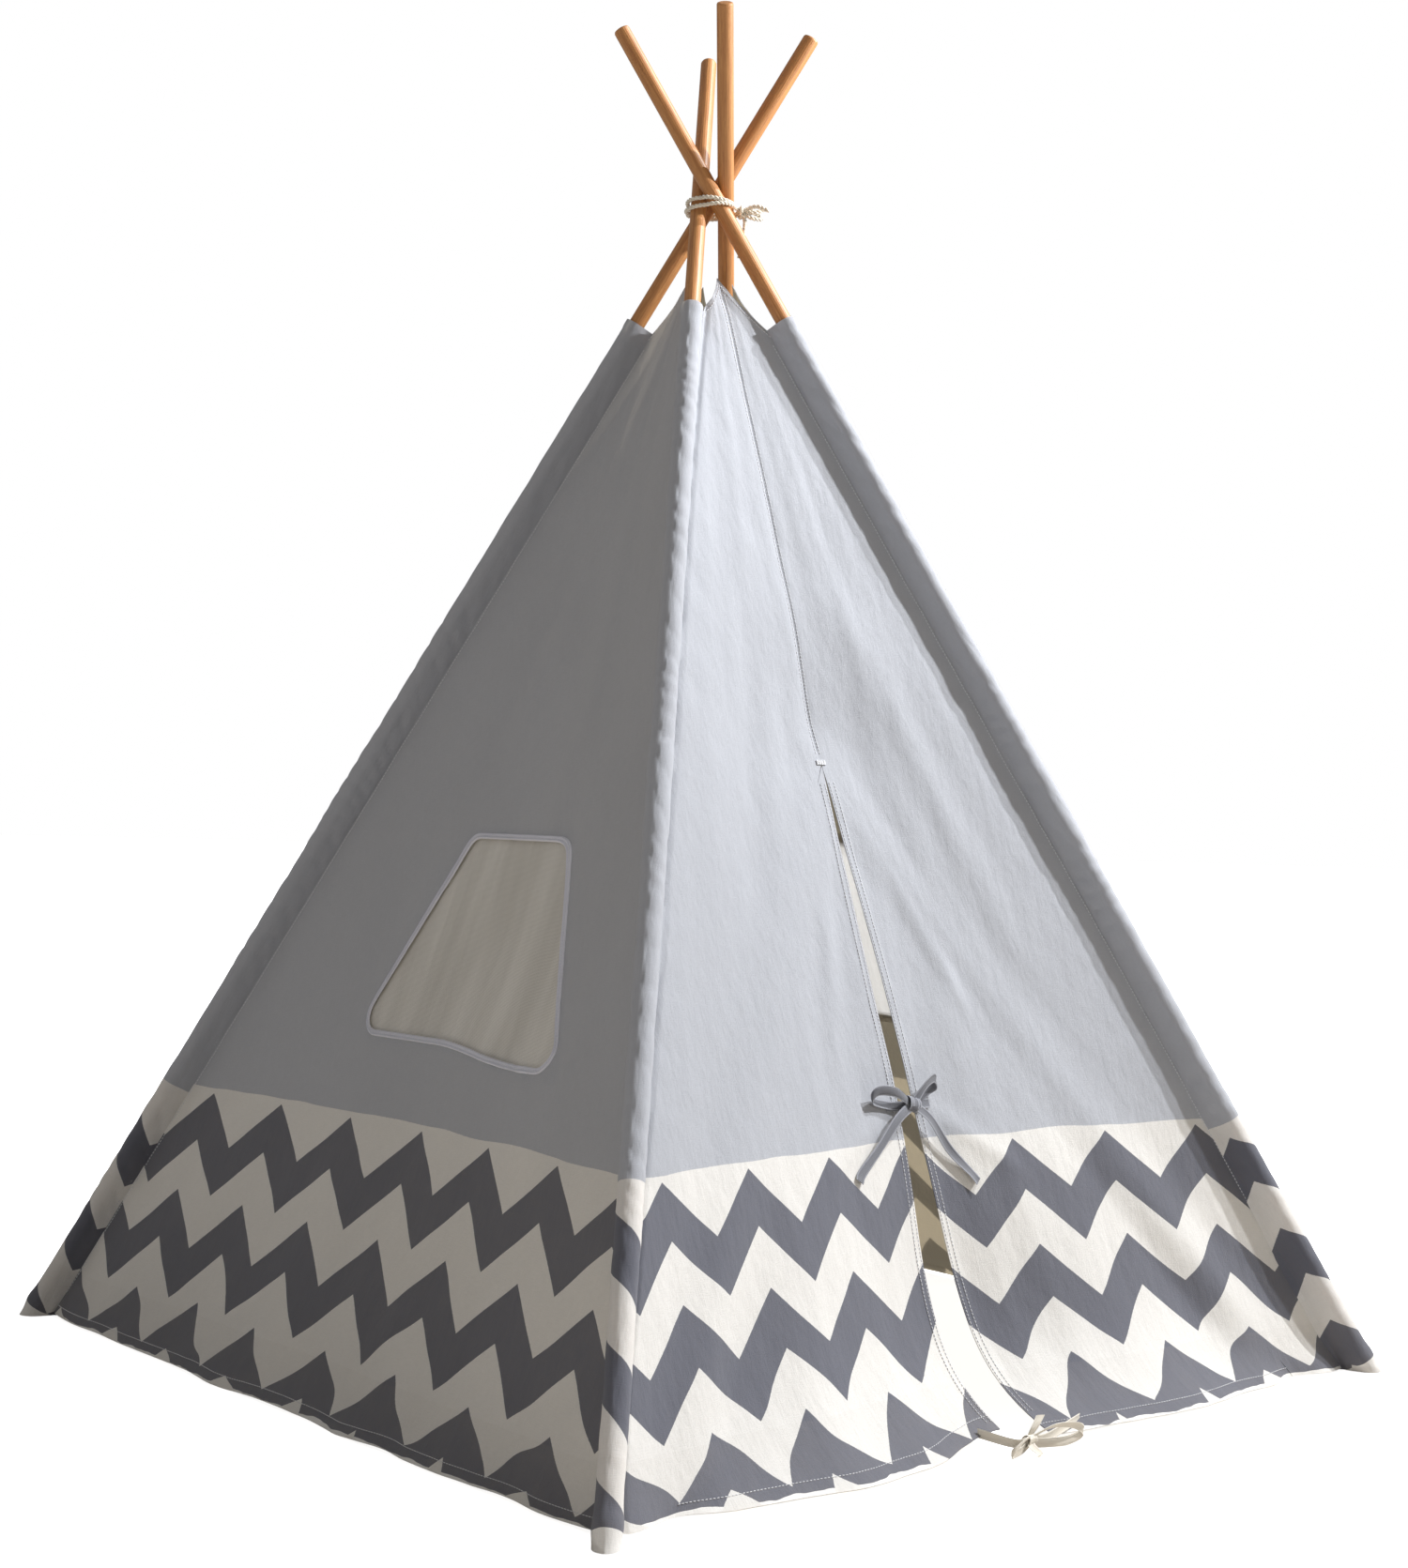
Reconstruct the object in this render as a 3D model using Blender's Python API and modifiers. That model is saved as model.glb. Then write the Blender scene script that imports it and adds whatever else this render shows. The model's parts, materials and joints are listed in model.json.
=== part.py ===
"""A child's four-pole play tent: two-part wooden poles lashed where they cross, each in a cloth sleeve, with
four cloth walls between them. The front wall has a slit door of two flaps with tape ties, and the left and right
walls have a net window each.

Frame: origin at the centre of the base on the floor, +Z up, the door faces -Y, the windows face -X and +X.
Each corner has an empty at its lashing point, on the axis about which that pole folds; each door flap has an
empty on its own fold line.
"""

import math
from functools import partial

import bmesh
import bpy
from mathutils import Matrix, Vector

# Frame of the tent
BASE_SIDE = 1.150
LASHING_HEIGHT = 1.398
POLE_LENGTH = 1.848
POLE_RADIUS = 0.010
CROSSING_OFFSET = 0.016  # how far each pole passes to one side of the tent's axis
POLE_START = 0.009  # from the floor point, up the pole, to the square-cut lower end
POLE_JOINT = 0.770  # from the floor point, up the pole, to where its two lengths meet
POLE_JOINT_GAP = 0.0005
POLE_EDGE_ROUND = 0.0025
ROUND_STEPS = 24

# Ferrules
FERRULE_LENGTH = 0.090
FERRULE_INNER_RADIUS = 0.0103
FERRULE_OUTER_RADIUS = 0.0113

# Cloth sleeves
SLEEVE_INNER_RADIUS = 0.0118
SLEEVE_OUTER_RADIUS = 0.0136
SLEEVE_TOP = 1.4355  # up the pole from the floor point
SLEEVE_POCKET = 0.0084  # where the bore starts, above the closed end

# Cloth walls
CLOTH_THICKNESS = 0.0015
WEB_START = 0.0146  # from the pole's axis inwards, where the web between sleeve and wall starts
WEB_END = 0.040  # from the pole's axis inwards, the sewn corner line of two walls
WEB_APART = 0.0012  # each of the two webs on a pole stands this far to its own side
HEM_HEIGHT = 0.006
GABLE = 0.058  # how far a wall's top edge rises between the sleeves
SAG = 0.038  # how far the middle of a wall hangs inwards
SAG_POWER = 0.7  # below 1, the deepest sag is in the lower half
WALL_COLUMNS = 10
WALL_ROW_STEPS = 6  # from the hem to the slit's top, and the same from there up

# Door
SLIT_TOP_HEIGHT = 0.700
SLIT_GAP_AT_FLOOR = 0.060
FLAP_FOLD_FROM_CORNER = 0.072
FLAP_GAP = 0.0016
SEAM_GAP = 0.0004
FLAP_TOP_DROP = 0.008

# Windows
WINDOW_CENTRE_HEIGHT = 0.490
WINDOW_HEIGHT = 0.235  # up the slope, inside the binding
WINDOW_TOP_WIDTH = 0.195
WINDOW_BOTTOM_WIDTH = 0.345
WINDOW_CORNER_RADIUS = 0.022
BINDING_WIDTH = 0.009
BINDING_THICKNESS = 0.0014
MESH_THICKNESS = 0.0008
MESH_LAP = 0.014
LAYER_GAP = 0.0004
CURVED_LAYER_GAP = 0.0020  # between two layers that both follow a sagging wall in flat facets
SIDE_STEPS = 6
ARC_STEPS = 5

# Lashing cord
CORD_RADIUS = 0.0025
COIL_RADIUS = 0.0335
COIL_PITCH = 0.0056
COIL_TURNS = 3.5
COIL_STEPS = 20
KNOT_RADIUS = 0.0078
KNOT_CORD_RADIUS = 0.0030
KNOT_AZIMUTH = math.radians(-41)
TAIL_DROP = 0.052

# Tape ties
TAPE_WIDTH = 0.008
TAPE_THICKNESS = 0.0012
DOOR_TIE_HEIGHT = 0.335
DOOR_TIE_LOOP = 0.055
DOOR_TIE_SWELL = 0.30  # half a loop's height, as a share of its length
DOOR_TIE_TAIL = 0.085
THRESHOLD_TIE_REACH = 0.014  # in front of the hem
THRESHOLD_TIE_LOOP = 0.060
THRESHOLD_TIE_SWELL = 0.14
THRESHOLD_TIE_TAIL = 0.025

CORNERS = {
    "front_left": (-1, -1),
    "front_right": (1, -1),
    "back_right": (1, 1),
    "back_left": (-1, 1),
}


class Corner:
    """One pole's line and the directions around it. It holds no objects, only geometry."""

    def __init__(self, sign_x, sign_y):
        outward = Vector((sign_x, sign_y, 0)).normalized()
        self.sideways = Vector((-outward.y, outward.x, 0))
        self.foot = outward * (BASE_SIDE / math.sqrt(2))
        self.lashing = Vector((0, 0, LASHING_HEIGHT)) - self.sideways * CROSSING_OFFSET
        self.up = (self.lashing - self.foot).normalized()
        self.inward = (self.up * outward.dot(self.up) - outward).normalized()
        self.across = self.up.cross(self.inward)
        self.lashing_distance = (self.lashing - self.foot).length

    def matrix(self):
        """Origin at the lashing point, Z up the pole, X out of the tent."""
        axes = Matrix((-self.inward, -self.across, self.up)).transposed()
        return Matrix.Translation(self.lashing) @ axes.to_4x4()

    def line(self, height, depth, side):
        """The point at this height on the line that runs along the pole, depth inwards and on the given side."""
        toward = self.across if self.across.dot(self.sideways) > 0 else -self.across
        start = self.foot + self.inward * depth + toward * (side * WEB_APART)
        return start + self.up * ((height - start.z) / self.up.z)


GEOMETRY = {name: Corner(*signs) for name, signs in CORNERS.items()}
WALL_TOP = SLEEVE_TOP * GEOMETRY["front_left"].up.z


def sag(share, height):
    drop = min(max(height / WALL_TOP, 0), 1) ** SAG_POWER
    return SAG * math.sin(math.pi * share) * math.sin(math.pi * drop)


class Wall:
    """The cloth surface between two poles. Seen from outside, left and right are the poles' corners."""

    def __init__(self, left, right):
        self.left = GEOMETRY[left]
        self.right = GEOMETRY[right]
        foot, other = self.point_on_seam(self.left, 1, 0), self.point_on_seam(self.right, -1, 0)
        top = (self.point_on_seam(self.left, 1, WALL_TOP) + self.point_on_seam(self.right, -1, WALL_TOP)) / 2
        self.out = (other - foot).cross(Vector((0, 0, 1))).normalized()
        self.slope = (top - (foot + other) / 2).normalized().z

    @staticmethod
    def point_on_seam(corner, side, height):
        return corner.line(height, WEB_END, side)

    def point(self, share, height):
        """share is 0 on the left corner seam and 1 on the right one; below 0 or above 1 is the web's sleeve edge."""
        if share < 0:
            return self.left.line(height, WEB_START, 1)
        if share > 1:
            return self.right.line(height, WEB_START, -1)
        left = self.point_on_seam(self.left, 1, height)
        flat = left.lerp(self.point_on_seam(self.right, -1, height), share)
        return flat - self.out * sag(share, height)

    def width(self, height):
        return (self.point(1, height) - self.point(0, height)).length

    def lying(self, place, out):
        """A point of the window's flat outline, laid on the wall and lifted off it."""
        height = WINDOW_CENTRE_HEIGHT + place.y * self.slope
        share = 0.5 + place.x / self.width(height)
        return self.frame(share, height) @ Vector((0, 0, out))

    def frame(self, share, height):
        """A matrix on the surface: X to the right, Y up the slope, Z out of the tent."""
        step = 0.01
        here = self.point(share, height)
        right = (self.point(share + step, height) - here).normalized()
        slope = self.point(share, height + step) - here
        out = right.cross(slope).normalized()
        axes = Matrix((right, out.cross(right), out)).transposed()
        return Matrix.Translation(here) @ axes.to_4x4()


WALLS = {
    "front": Wall("front_left", "front_right"),
    "right": Wall("front_right", "back_right"),
    "back": Wall("back_right", "back_left"),
    "left": Wall("back_left", "front_left"),
}


def clear_scene():
    for obj in list(bpy.data.objects):
        bpy.data.objects.remove(obj, do_unlink=True)


def new_collection(name):
    collection = bpy.data.collections.new(name)
    bpy.context.scene.collection.children.link(collection)
    return collection


def new_material(name, color, roughness, metallic=0.0, alpha=1.0):
    material = bpy.data.materials.new(name)
    material.use_nodes = True
    shader = material.node_tree.nodes["Principled BSDF"]
    shader.inputs["Base Color"].default_value = (*color, 1)
    shader.inputs["Roughness"].default_value = roughness
    shader.inputs["Metallic"].default_value = metallic
    shader.inputs["Alpha"].default_value = alpha
    material.diffuse_color = (*color, alpha)
    return material


def add_object(name, data, collection, parent=None, material=None):
    obj = bpy.data.objects.new(name, data)
    collection.objects.link(obj)
    obj.parent = parent
    if material:
        data.materials.append(material)
    return obj


def add_empty(name, matrix, parent=None):
    empty = add_object(name, None, PARTS, parent)
    empty.empty_display_size = 0.05
    empty.matrix_basis = parent_inverse(parent) @ matrix
    bpy.context.view_layer.update()
    return empty


def parent_inverse(parent):
    return parent.matrix_world.inverted() if parent else Matrix.Identity(4)


def smooth(mesh):
    mesh.shade_smooth()
    mesh.set_sharp_from_angle(angle=math.radians(35))


def rod_mesh(name, radius, low, high):
    """A round bar along local Z, from low to high."""
    mesh = bpy.data.meshes.new(name)
    rod = bmesh.new()
    middle = Matrix.Translation((0, 0, (low + high) / 2))
    bmesh.ops.create_cone(
        rod, cap_ends=True, segments=ROUND_STEPS, radius1=radius, radius2=radius, depth=high - low, matrix=middle
    )
    rod.to_mesh(mesh)
    rod.free()
    return mesh


def add_bevel(obj, width, segments=2):
    bevel = obj.modifiers.new("rounded edges", "BEVEL")
    bevel.width = width
    bevel.segments = segments
    bevel.limit_method = "ANGLE"
    bevel.angle_limit = math.radians(60)


def cut(obj, cutter, name):
    modifier = obj.modifiers.new(name, "BOOLEAN")
    modifier.operation = "DIFFERENCE"
    modifier.object = cutter


def add_cutter(name, mesh, matrix):
    cutter = add_object(name, mesh, CUTTERS)
    cutter.matrix_world = matrix
    cutter.hide_render = True
    cutter.display_type = "WIRE"
    return cutter


def add_pole(corner, geometry, hinge):
    """The pole's two lengths, which butt together inside the ferrule."""
    zero = -geometry.lashing_distance
    spans = {
        "lower": (POLE_START, POLE_JOINT - POLE_JOINT_GAP / 2),
        "upper": (POLE_JOINT + POLE_JOINT_GAP / 2, POLE_LENGTH),
    }
    for part, (low, high) in spans.items():
        name = f"{corner}_pole_{part}"
        mesh = rod_mesh(name, POLE_RADIUS, -(high - low) / 2, (high - low) / 2)
        pole = add_object(name, mesh, PARTS, hinge, MATERIALS["pole_wood"])
        pole.location.z = zero + (low + high) / 2
        add_bevel(pole, POLE_EDGE_ROUND if part == "upper" else POLE_EDGE_ROUND / 2)
        smooth(mesh)


def add_ferrule(corner, geometry, hinge):
    """A short metal tube turned from a rectangular profile."""
    mesh = bpy.data.meshes.new(f"{corner}_ferrule")
    half = FERRULE_LENGTH / 2
    profile = bmesh.new()
    outline = (
        (FERRULE_OUTER_RADIUS, half),
        (FERRULE_OUTER_RADIUS, -half),
        (FERRULE_INNER_RADIUS, -half),
        (FERRULE_INNER_RADIUS, half),
    )
    ring = [profile.verts.new((x, 0, z)) for x, z in outline]
    for start, end in zip(ring, ring[1:] + ring[:1]):
        profile.edges.new((start, end))
    profile.to_mesh(mesh)
    profile.free()
    ferrule = add_object(mesh.name, mesh, PARTS, hinge, MATERIALS["ferrule_metal"])
    ferrule.location.z = POLE_JOINT - geometry.lashing_distance
    screw = ferrule.modifiers.new("turn", "SCREW")
    screw.steps = ROUND_STEPS
    screw.render_steps = ROUND_STEPS
    screw.use_merge_vertices = True
    screw.merge_threshold = 0.00001


def add_sleeve(corner, geometry, hinge, floor_cutter):
    """A cloth tube round the pole, open at the top and closed by a flat pocket end on the floor."""
    zero = -geometry.lashing_distance
    below_floor = -0.03
    above_top = 0.02
    mesh = rod_mesh(f"{corner}_sleeve", SLEEVE_OUTER_RADIUS, zero + below_floor, zero + SLEEVE_TOP)
    sleeve = add_object(mesh.name, mesh, PARTS, hinge, MATERIALS["sleeve_canvas"])
    bore_mesh = rod_mesh(
        f"{corner}_bore", SLEEVE_INNER_RADIUS, zero + SLEEVE_POCKET, zero + SLEEVE_TOP + above_top
    )
    cut(sleeve, add_cutter(bore_mesh.name, bore_mesh, geometry.matrix()), "bore")
    cut(sleeve, floor_cutter, "floor")


def add_corners(floor_cutter):
    """The four poles with what is fixed to them. Returns the empties on the poles' fold axes."""
    hinges = {}
    for corner, geometry in GEOMETRY.items():
        hinges[corner] = add_empty(f"{corner}_fold_axis", geometry.matrix())
        add_pole(corner, geometry, hinges[corner])
        add_ferrule(corner, geometry, hinges[corner])
        add_sleeve(corner, geometry, hinges[corner], floor_cutter)
    return hinges


def sheet_mesh(name, columns, rows, place):
    """A grid whose vertices go where place(column, row) says."""
    mesh = bpy.data.meshes.new(name)
    grid = bmesh.new()
    steps_x, steps_y = len(columns) - 1, len(rows) - 1
    bmesh.ops.create_grid(grid, x_segments=steps_x, y_segments=steps_y, size=0.5)
    for vertex in grid.verts:
        column = columns[round((vertex.co.x + 0.5) * steps_x)]
        row = rows[round((vertex.co.y + 0.5) * steps_y)]
        vertex.co = place(column, row)
    bmesh.ops.remove_doubles(grid, verts=grid.verts, dist=0.000001)
    grid.to_mesh(mesh)
    grid.free()
    return mesh


def add_cloth(mesh, parent, material, thickness=CLOTH_THICKNESS):
    """The sheet, given in world coordinates, becomes a closed solid that is carried by parent."""
    mesh.transform(parent_inverse(parent))
    cloth = add_object(mesh.name, mesh, PARTS, parent, MATERIALS[material])
    solidify = cloth.modifiers.new("thickness", "SOLIDIFY")
    solidify.thickness = thickness
    solidify.offset = 0
    solidify.use_even_offset = True
    return cloth


def wall_height(share, row):
    """Rows 0 to 1 run from the hem to the slit's top, and rows 1 to 2 from there to the gabled top edge."""
    if row <= 1:
        return HEM_HEIGHT + row * (SLIT_TOP_HEIGHT - HEM_HEIGHT)
    inside = min(max(share, 0), 1)
    top = WALL_TOP + GABLE * (1 - abs(2 * inside - 1))
    return SLIT_TOP_HEIGHT + (row - 1) * (top - SLIT_TOP_HEIGHT)


def steps(low, high, count):
    return [low + (high - low) * i / count for i in range(count + 1)]


WALL_ROWS = steps(0, 2, 2 * WALL_ROW_STEPS)


def add_wall(name, wall, parent):
    columns = [-1, *steps(0, 1, WALL_COLUMNS), 2]
    mesh = sheet_mesh(name, columns, WALL_ROWS, lambda share, row: wall.point(share, wall_height(share, row)))
    return add_cloth(mesh, parent, "canvas")


def slit_middle(height):
    return WALLS["front"].point(0.5, height)


def fold_line(side):
    """The two ends of a flap's fold line, top then bottom. side is -1 for the left flap and 1 for the right."""
    wall = WALLS["front"]
    share = FLAP_FOLD_FROM_CORNER / wall.width(HEM_HEIGHT)
    bottom = wall.point(share if side < 0 else 1 - share, HEM_HEIGHT)
    return slit_middle(SLIT_TOP_HEIGHT), bottom


def on_fold_line(side, height):
    top, bottom = fold_line(side)
    return bottom.lerp(top, (height - HEM_HEIGHT) / (SLIT_TOP_HEIGHT - HEM_HEIGHT))


def fold_share(side, height):
    """How far across the front wall the fold line is at this height."""
    wall = WALLS["front"]
    return (on_fold_line(side, height).x - wall.point(0, height).x) / wall.width(height)


def fold_pull(side, height):
    """From the sagging wall to the straight fold line, which holds the cloth there."""
    return on_fold_line(side, height) - WALLS["front"].point(fold_share(side, height), height)


def slit_half_gap(height):
    open_share = 1 - (height - HEM_HEIGHT) / (SLIT_TOP_HEIGHT - HEM_HEIGHT)
    return SEAM_GAP + open_share * SLIT_GAP_AT_FLOOR / 2


def add_door_panel(name, side, parent):
    """The fixed cloth beside the door: from the sleeve to the centre seam, and below it to the flap's fold."""
    wall = WALLS["front"]

    def place(column, row):
        if column < 0:
            return wall.point(-1 if side < 0 else 2, wall_height(0, row))
        height = wall_height(column / 2, row)
        seam = 0 if side < 0 else 1
        if row > 1:
            gap = Vector((side * SEAM_GAP * column, 0, 0))
            return wall.point(seam + (0.5 - seam) * column, height) + gap
        share = seam + (fold_share(side, height) - seam) * column
        gap = Vector((side * FLAP_GAP, 0, 0))
        return wall.point(share, height) + (fold_pull(side, height) + gap) * column

    mesh = sheet_mesh(name, [-1, *steps(0, 1, WALL_COLUMNS // 2)], WALL_ROWS, place)
    return add_cloth(mesh, parent, "canvas")


def flap_point(side, column, height):
    """A point of a flap's cloth: column is 0 on the fold line and 1 at the slit."""
    fold = fold_share(side, height)
    gap = Vector((side * (slit_half_gap(height) * column - FLAP_GAP * (1 - column)), 0, 0))
    pull = fold_pull(side, height) * (1 - column)
    return WALLS["front"].point(fold + (0.5 - fold) * column, height) + pull + gap


def add_door_flap(name, side, parent):
    """The loose triangle between the fold line and the slit."""
    heights = steps(HEM_HEIGHT, SLIT_TOP_HEIGHT - FLAP_TOP_DROP, WALL_ROW_STEPS)
    columns = steps(0, 1, WALL_COLUMNS // 2)
    mesh = sheet_mesh(name, columns, heights, lambda column, height: flap_point(side, column, height))
    return add_cloth(mesh, parent, "canvas")


def rounded_trapezoid(grow):
    """The window's outline, with the given margin all round, as corner arcs in order."""
    half_top = WINDOW_TOP_WIDTH / 2 + grow
    half_bottom = WINDOW_BOTTOM_WIDTH / 2 + grow
    half_height = WINDOW_HEIGHT / 2 + grow
    radius = WINDOW_CORNER_RADIUS + grow
    lean = math.atan2(half_bottom - half_top, 2 * half_height)
    points = []
    corners = (
        (half_bottom, -half_height, -math.pi / 2, lean),
        (half_top, half_height, lean, math.pi / 2),
        (-half_top, half_height, math.pi / 2, math.pi - lean),
        (-half_bottom, -half_height, math.pi - lean, 3 * math.pi / 2),
    )
    for x, y, start, end in corners:
        reach = radius * math.tan((end - start) / 2)
        level = 1 if y > 0 else -1
        centre = Vector((x - math.copysign(reach, x), y - level * radius))
        arc = [start + (end - start) * i / ARC_STEPS for i in range(ARC_STEPS + 1)]
        arc = [centre + Vector((math.cos(angle), math.sin(angle))) * radius for angle in arc]
        points += side_points(points[-1], arc[0]) + arc if points else arc
    return points + side_points(points[-1], points[0])


def side_points(start, end):
    """The points between two corners, without the corners."""
    return [start.lerp(end, i / SIDE_STEPS) for i in range(1, SIDE_STEPS)]


def outline_mesh(name, outline, thickness):
    """A flat outline as a solid plate about local Z 0."""
    curve = bpy.data.curves.new(name, "CURVE")
    curve.dimensions = "2D"
    curve.fill_mode = "BOTH"
    curve.extrude = thickness / 2
    spline = curve.splines.new("POLY")
    spline.points.add(len(outline) - 1)
    for point, place in zip(spline.points, outline):
        point.co = (place.x, place.y, 0, 1)
    spline.use_cyclic_u = True
    source = add_object(f"{name}_outline", curve, PARTS)
    mesh = bpy.data.meshes.new_from_object(source.evaluated_get(bpy.context.evaluated_depsgraph_get()))
    mesh.name = name
    plate = bmesh.new()
    plate.from_mesh(mesh)
    bmesh.ops.remove_doubles(plate, verts=plate.verts, dist=0.00001)
    bmesh.ops.recalc_face_normals(plate, faces=plate.faces)
    plate.to_mesh(mesh)
    plate.free()
    bpy.data.objects.remove(source, do_unlink=True)
    return mesh


def net_place(column, row):
    """Spreads a square of -1 to 1 over the window, with a lap behind the wall all round."""
    half_top = WINDOW_TOP_WIDTH / 2 + MESH_LAP
    half_bottom = WINDOW_BOTTOM_WIDTH / 2 + MESH_LAP
    half_width = half_bottom + (half_top - half_bottom) * (row + 1) / 2
    return Vector((column * half_width, row * (WINDOW_HEIGHT / 2 + MESH_LAP)))


def add_window(side, wall_object, parent):
    """A window's opening, its bound edge outside and its net behind, both lying on the sagging wall."""
    wall = WALLS[side]
    opening = outline_mesh(f"{side}_window_opening", rounded_trapezoid(0), 0.08)
    cut(wall_object, add_cutter(opening.name, opening, wall.frame(0.5, WINDOW_CENTRE_HEIGHT)), "window")
    outside = CLOTH_THICKNESS / 2 + CURVED_LAYER_GAP + BINDING_THICKNESS / 2
    inside = -(CLOTH_THICKNESS / 2 + CURVED_LAYER_GAP + MESH_THICKNESS / 2)
    rings = {grow: rounded_trapezoid(grow) for grow in (0, BINDING_WIDTH)}
    count = len(rings[0])
    binding = sheet_mesh(
        f"{side}_window_binding",
        list(range(count + 1)),
        list(rings),
        lambda i, grow: wall.lying(rings[grow][i % count], outside),
    )
    add_cloth(binding, parent, "window_binding", BINDING_THICKNESS)
    across = steps(-1, 1, WALL_COLUMNS)
    net = sheet_mesh(f"{side}_window_mesh", across, across, lambda x, y: wall.lying(net_place(x, y), inside))
    add_cloth(net, parent, "window_net", MESH_THICKNESS)


def cord_curve(name, points, radius, cyclic=False):
    curve = bpy.data.curves.new(name, "CURVE")
    curve.dimensions = "3D"
    curve.bevel_depth = radius
    curve.bevel_resolution = 2
    curve.use_fill_caps = not cyclic
    spline = curve.splines.new("POLY")
    spline.points.add(len(points) - 1)
    for point, place in zip(spline.points, points):
        point.co = (*place, 1)
    spline.use_cyclic_u = cyclic
    return curve


def add_lashing():
    """The cord wound round the crossing with two loose tails, and the knot that holds it."""
    half_height = COIL_TURNS * COIL_PITCH / 2
    points = []
    for i in range(round(COIL_TURNS * COIL_STEPS) + 1):
        turn = i / COIL_STEPS
        angle = KNOT_AZIMUTH + math.radians(14) + 2 * math.pi * turn
        height = LASHING_HEIGHT - half_height + COIL_PITCH * turn
        points.append(Vector((COIL_RADIUS * math.cos(angle), COIL_RADIUS * math.sin(angle), height)))
    out = Vector((math.cos(KNOT_AZIMUTH), math.sin(KNOT_AZIMUTH), 0))
    side = Vector((-out.y, out.x, 0))
    knot = out * (COIL_RADIUS + 0.011) + Vector((0, 0, points[0].z))
    falling = [knot + out * 0.004 - Vector((0, 0, drop)) for drop in (TAIL_DROP, TAIL_DROP / 2, 0.010)]
    last = points[-1]
    away = (last - Vector((0, 0, last.z))).normalized()
    along = Vector((-away.y, away.x, 0))
    rising = [last + along * 0.012 + away * 0.005, last + along * 0.024 + away * 0.014]
    first = [knot - side * 0.001, points[0] + (knot - points[0]) * 0.35]
    cord = cord_curve("lashing_cord", [*falling, *first, *points, *rising], CORD_RADIUS)
    add_object("lashing_cord", cord, PARTS, None, MATERIALS["cord"])
    bpy.ops.mesh.primitive_torus_add(
        major_segments=20,
        minor_segments=8,
        major_radius=KNOT_RADIUS,
        minor_radius=KNOT_CORD_RADIUS,
        location=falling[1] + Vector((0, 0, 0.006)),
    )
    ring = bpy.context.object
    ring.name = "lashing_knot"
    ring.data.name = "lashing_knot"
    ring.data.materials.append(MATERIALS["cord"])
    for owner in list(ring.users_collection):
        owner.objects.unlink(ring)
    PARTS.objects.link(ring)


def tape_path(side, loop, swell, tail):
    """Half a bow, seen flat: out round the loop, back beside the knot, and down the tail."""
    knot_x = 0.004
    lobe = [
        Vector((side * (knot_x + loop * (1 - math.cos(turn)) / 2), swell * loop * math.sin(turn)))
        for turn in [math.pi * i / 8 * 1.85 for i in range(9)]
    ]
    end = lobe[-1] - Vector((0, 0.004))
    return [*lobe, end + Vector((side * 0.3 * tail, -0.4 * tail)), end + Vector((side * 0.55 * tail, -0.75 * tail))]


def add_tape(name, path, place, parent, material):
    """A tape that stands on its edge along the path. place puts a point of the path into the world."""
    mesh = sheet_mesh(name, list(range(len(path))), [0.0, TAPE_WIDTH], lambda i, out: place(path[i], out))
    return add_cloth(mesh, parent, material, TAPE_THICKNESS)


def on_flap(side, place, out):
    """A point of the door bow's flat path, laid on the flap and lifted off it."""
    wall = WALLS["front"]
    height = DOOR_TIE_HEIGHT + place.y * wall.slope
    slit = abs(flap_point(side, 1, height).x)
    fold = abs(flap_point(side, 0, height).x)
    column = (fold - abs(place.x)) / (fold - slit)
    proud = wall.frame(0.5, height).to_3x3() @ Vector((0, 0, CLOTH_THICKNESS / 2 + CURVED_LAYER_GAP + out))
    return flap_point(side, column, height) + proud


def on_threshold(place, out):
    """A point of the threshold bow's flat path, on the floor in front of the slit."""
    hem = slit_middle(HEM_HEIGHT)
    return Vector((hem.x + place.x, hem.y - THRESHOLD_TIE_REACH + place.y, LAYER_GAP + out))


def add_ties(hinges):
    """Two bows: tapes sewn to the flaps halfway up, and tapes at the flaps' lower corners."""
    for side, end in ((-1, "left"), (1, "right")):
        flap = hinges[f"door_flap_{end}"]
        path = tape_path(side, DOOR_TIE_LOOP, DOOR_TIE_SWELL, DOOR_TIE_TAIL)
        on_this_flap = partial(on_flap, side)
        add_tape(f"door_tie_{end}", path, on_this_flap, flap, "door_tape")
        path = tape_path(side, THRESHOLD_TIE_LOOP, THRESHOLD_TIE_SWELL, THRESHOLD_TIE_TAIL)
        add_tape(f"threshold_tie_{end}", path, on_threshold, flap, "threshold_tape")


def add_door(corner_hinges):
    """The door's fixed cloth, its flaps on their fold lines, and the ties."""
    hinges = {}
    for side, end, corner in ((-1, "left", "front_left"), (1, "right", "front_right")):
        parent = corner_hinges[corner]
        add_door_panel(f"door_panel_{end}", side, parent)
        top, bottom = fold_line(side)
        along = (bottom - top) if side < 0 else (top - bottom)
        turn = along.to_track_quat("Z", "Y").to_matrix().to_4x4()
        hinge = add_empty(f"door_flap_{end}_fold_axis", Matrix.Translation(top) @ turn, parent)
        hinges[f"door_flap_{end}"] = hinge
        add_door_flap(f"door_flap_{end}", side, hinge)
    add_ties(hinges)


def add_floor_cutter():
    mesh = bpy.data.meshes.new("floor_cutter")
    block = bmesh.new()
    bmesh.ops.create_cube(block, size=1)
    bmesh.ops.scale(block, verts=block.verts, vec=(2 * BASE_SIDE, 2 * BASE_SIDE, 0.1))
    bmesh.ops.translate(block, verts=block.verts, vec=(0, 0, -0.05))
    block.to_mesh(mesh)
    block.free()
    return add_cutter("floor_cutter", mesh, Matrix.Identity(4))


def build():
    hinges = add_corners(add_floor_cutter())
    for side, corner in (("right", "back_right"), ("back", "back_left"), ("left", "back_left")):
        panel = add_wall(f"{side}_panel", WALLS[side], hinges[corner])
        if side != "back":
            add_window(side, panel, hinges[corner])
    add_door(hinges)
    add_lashing()


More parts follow.
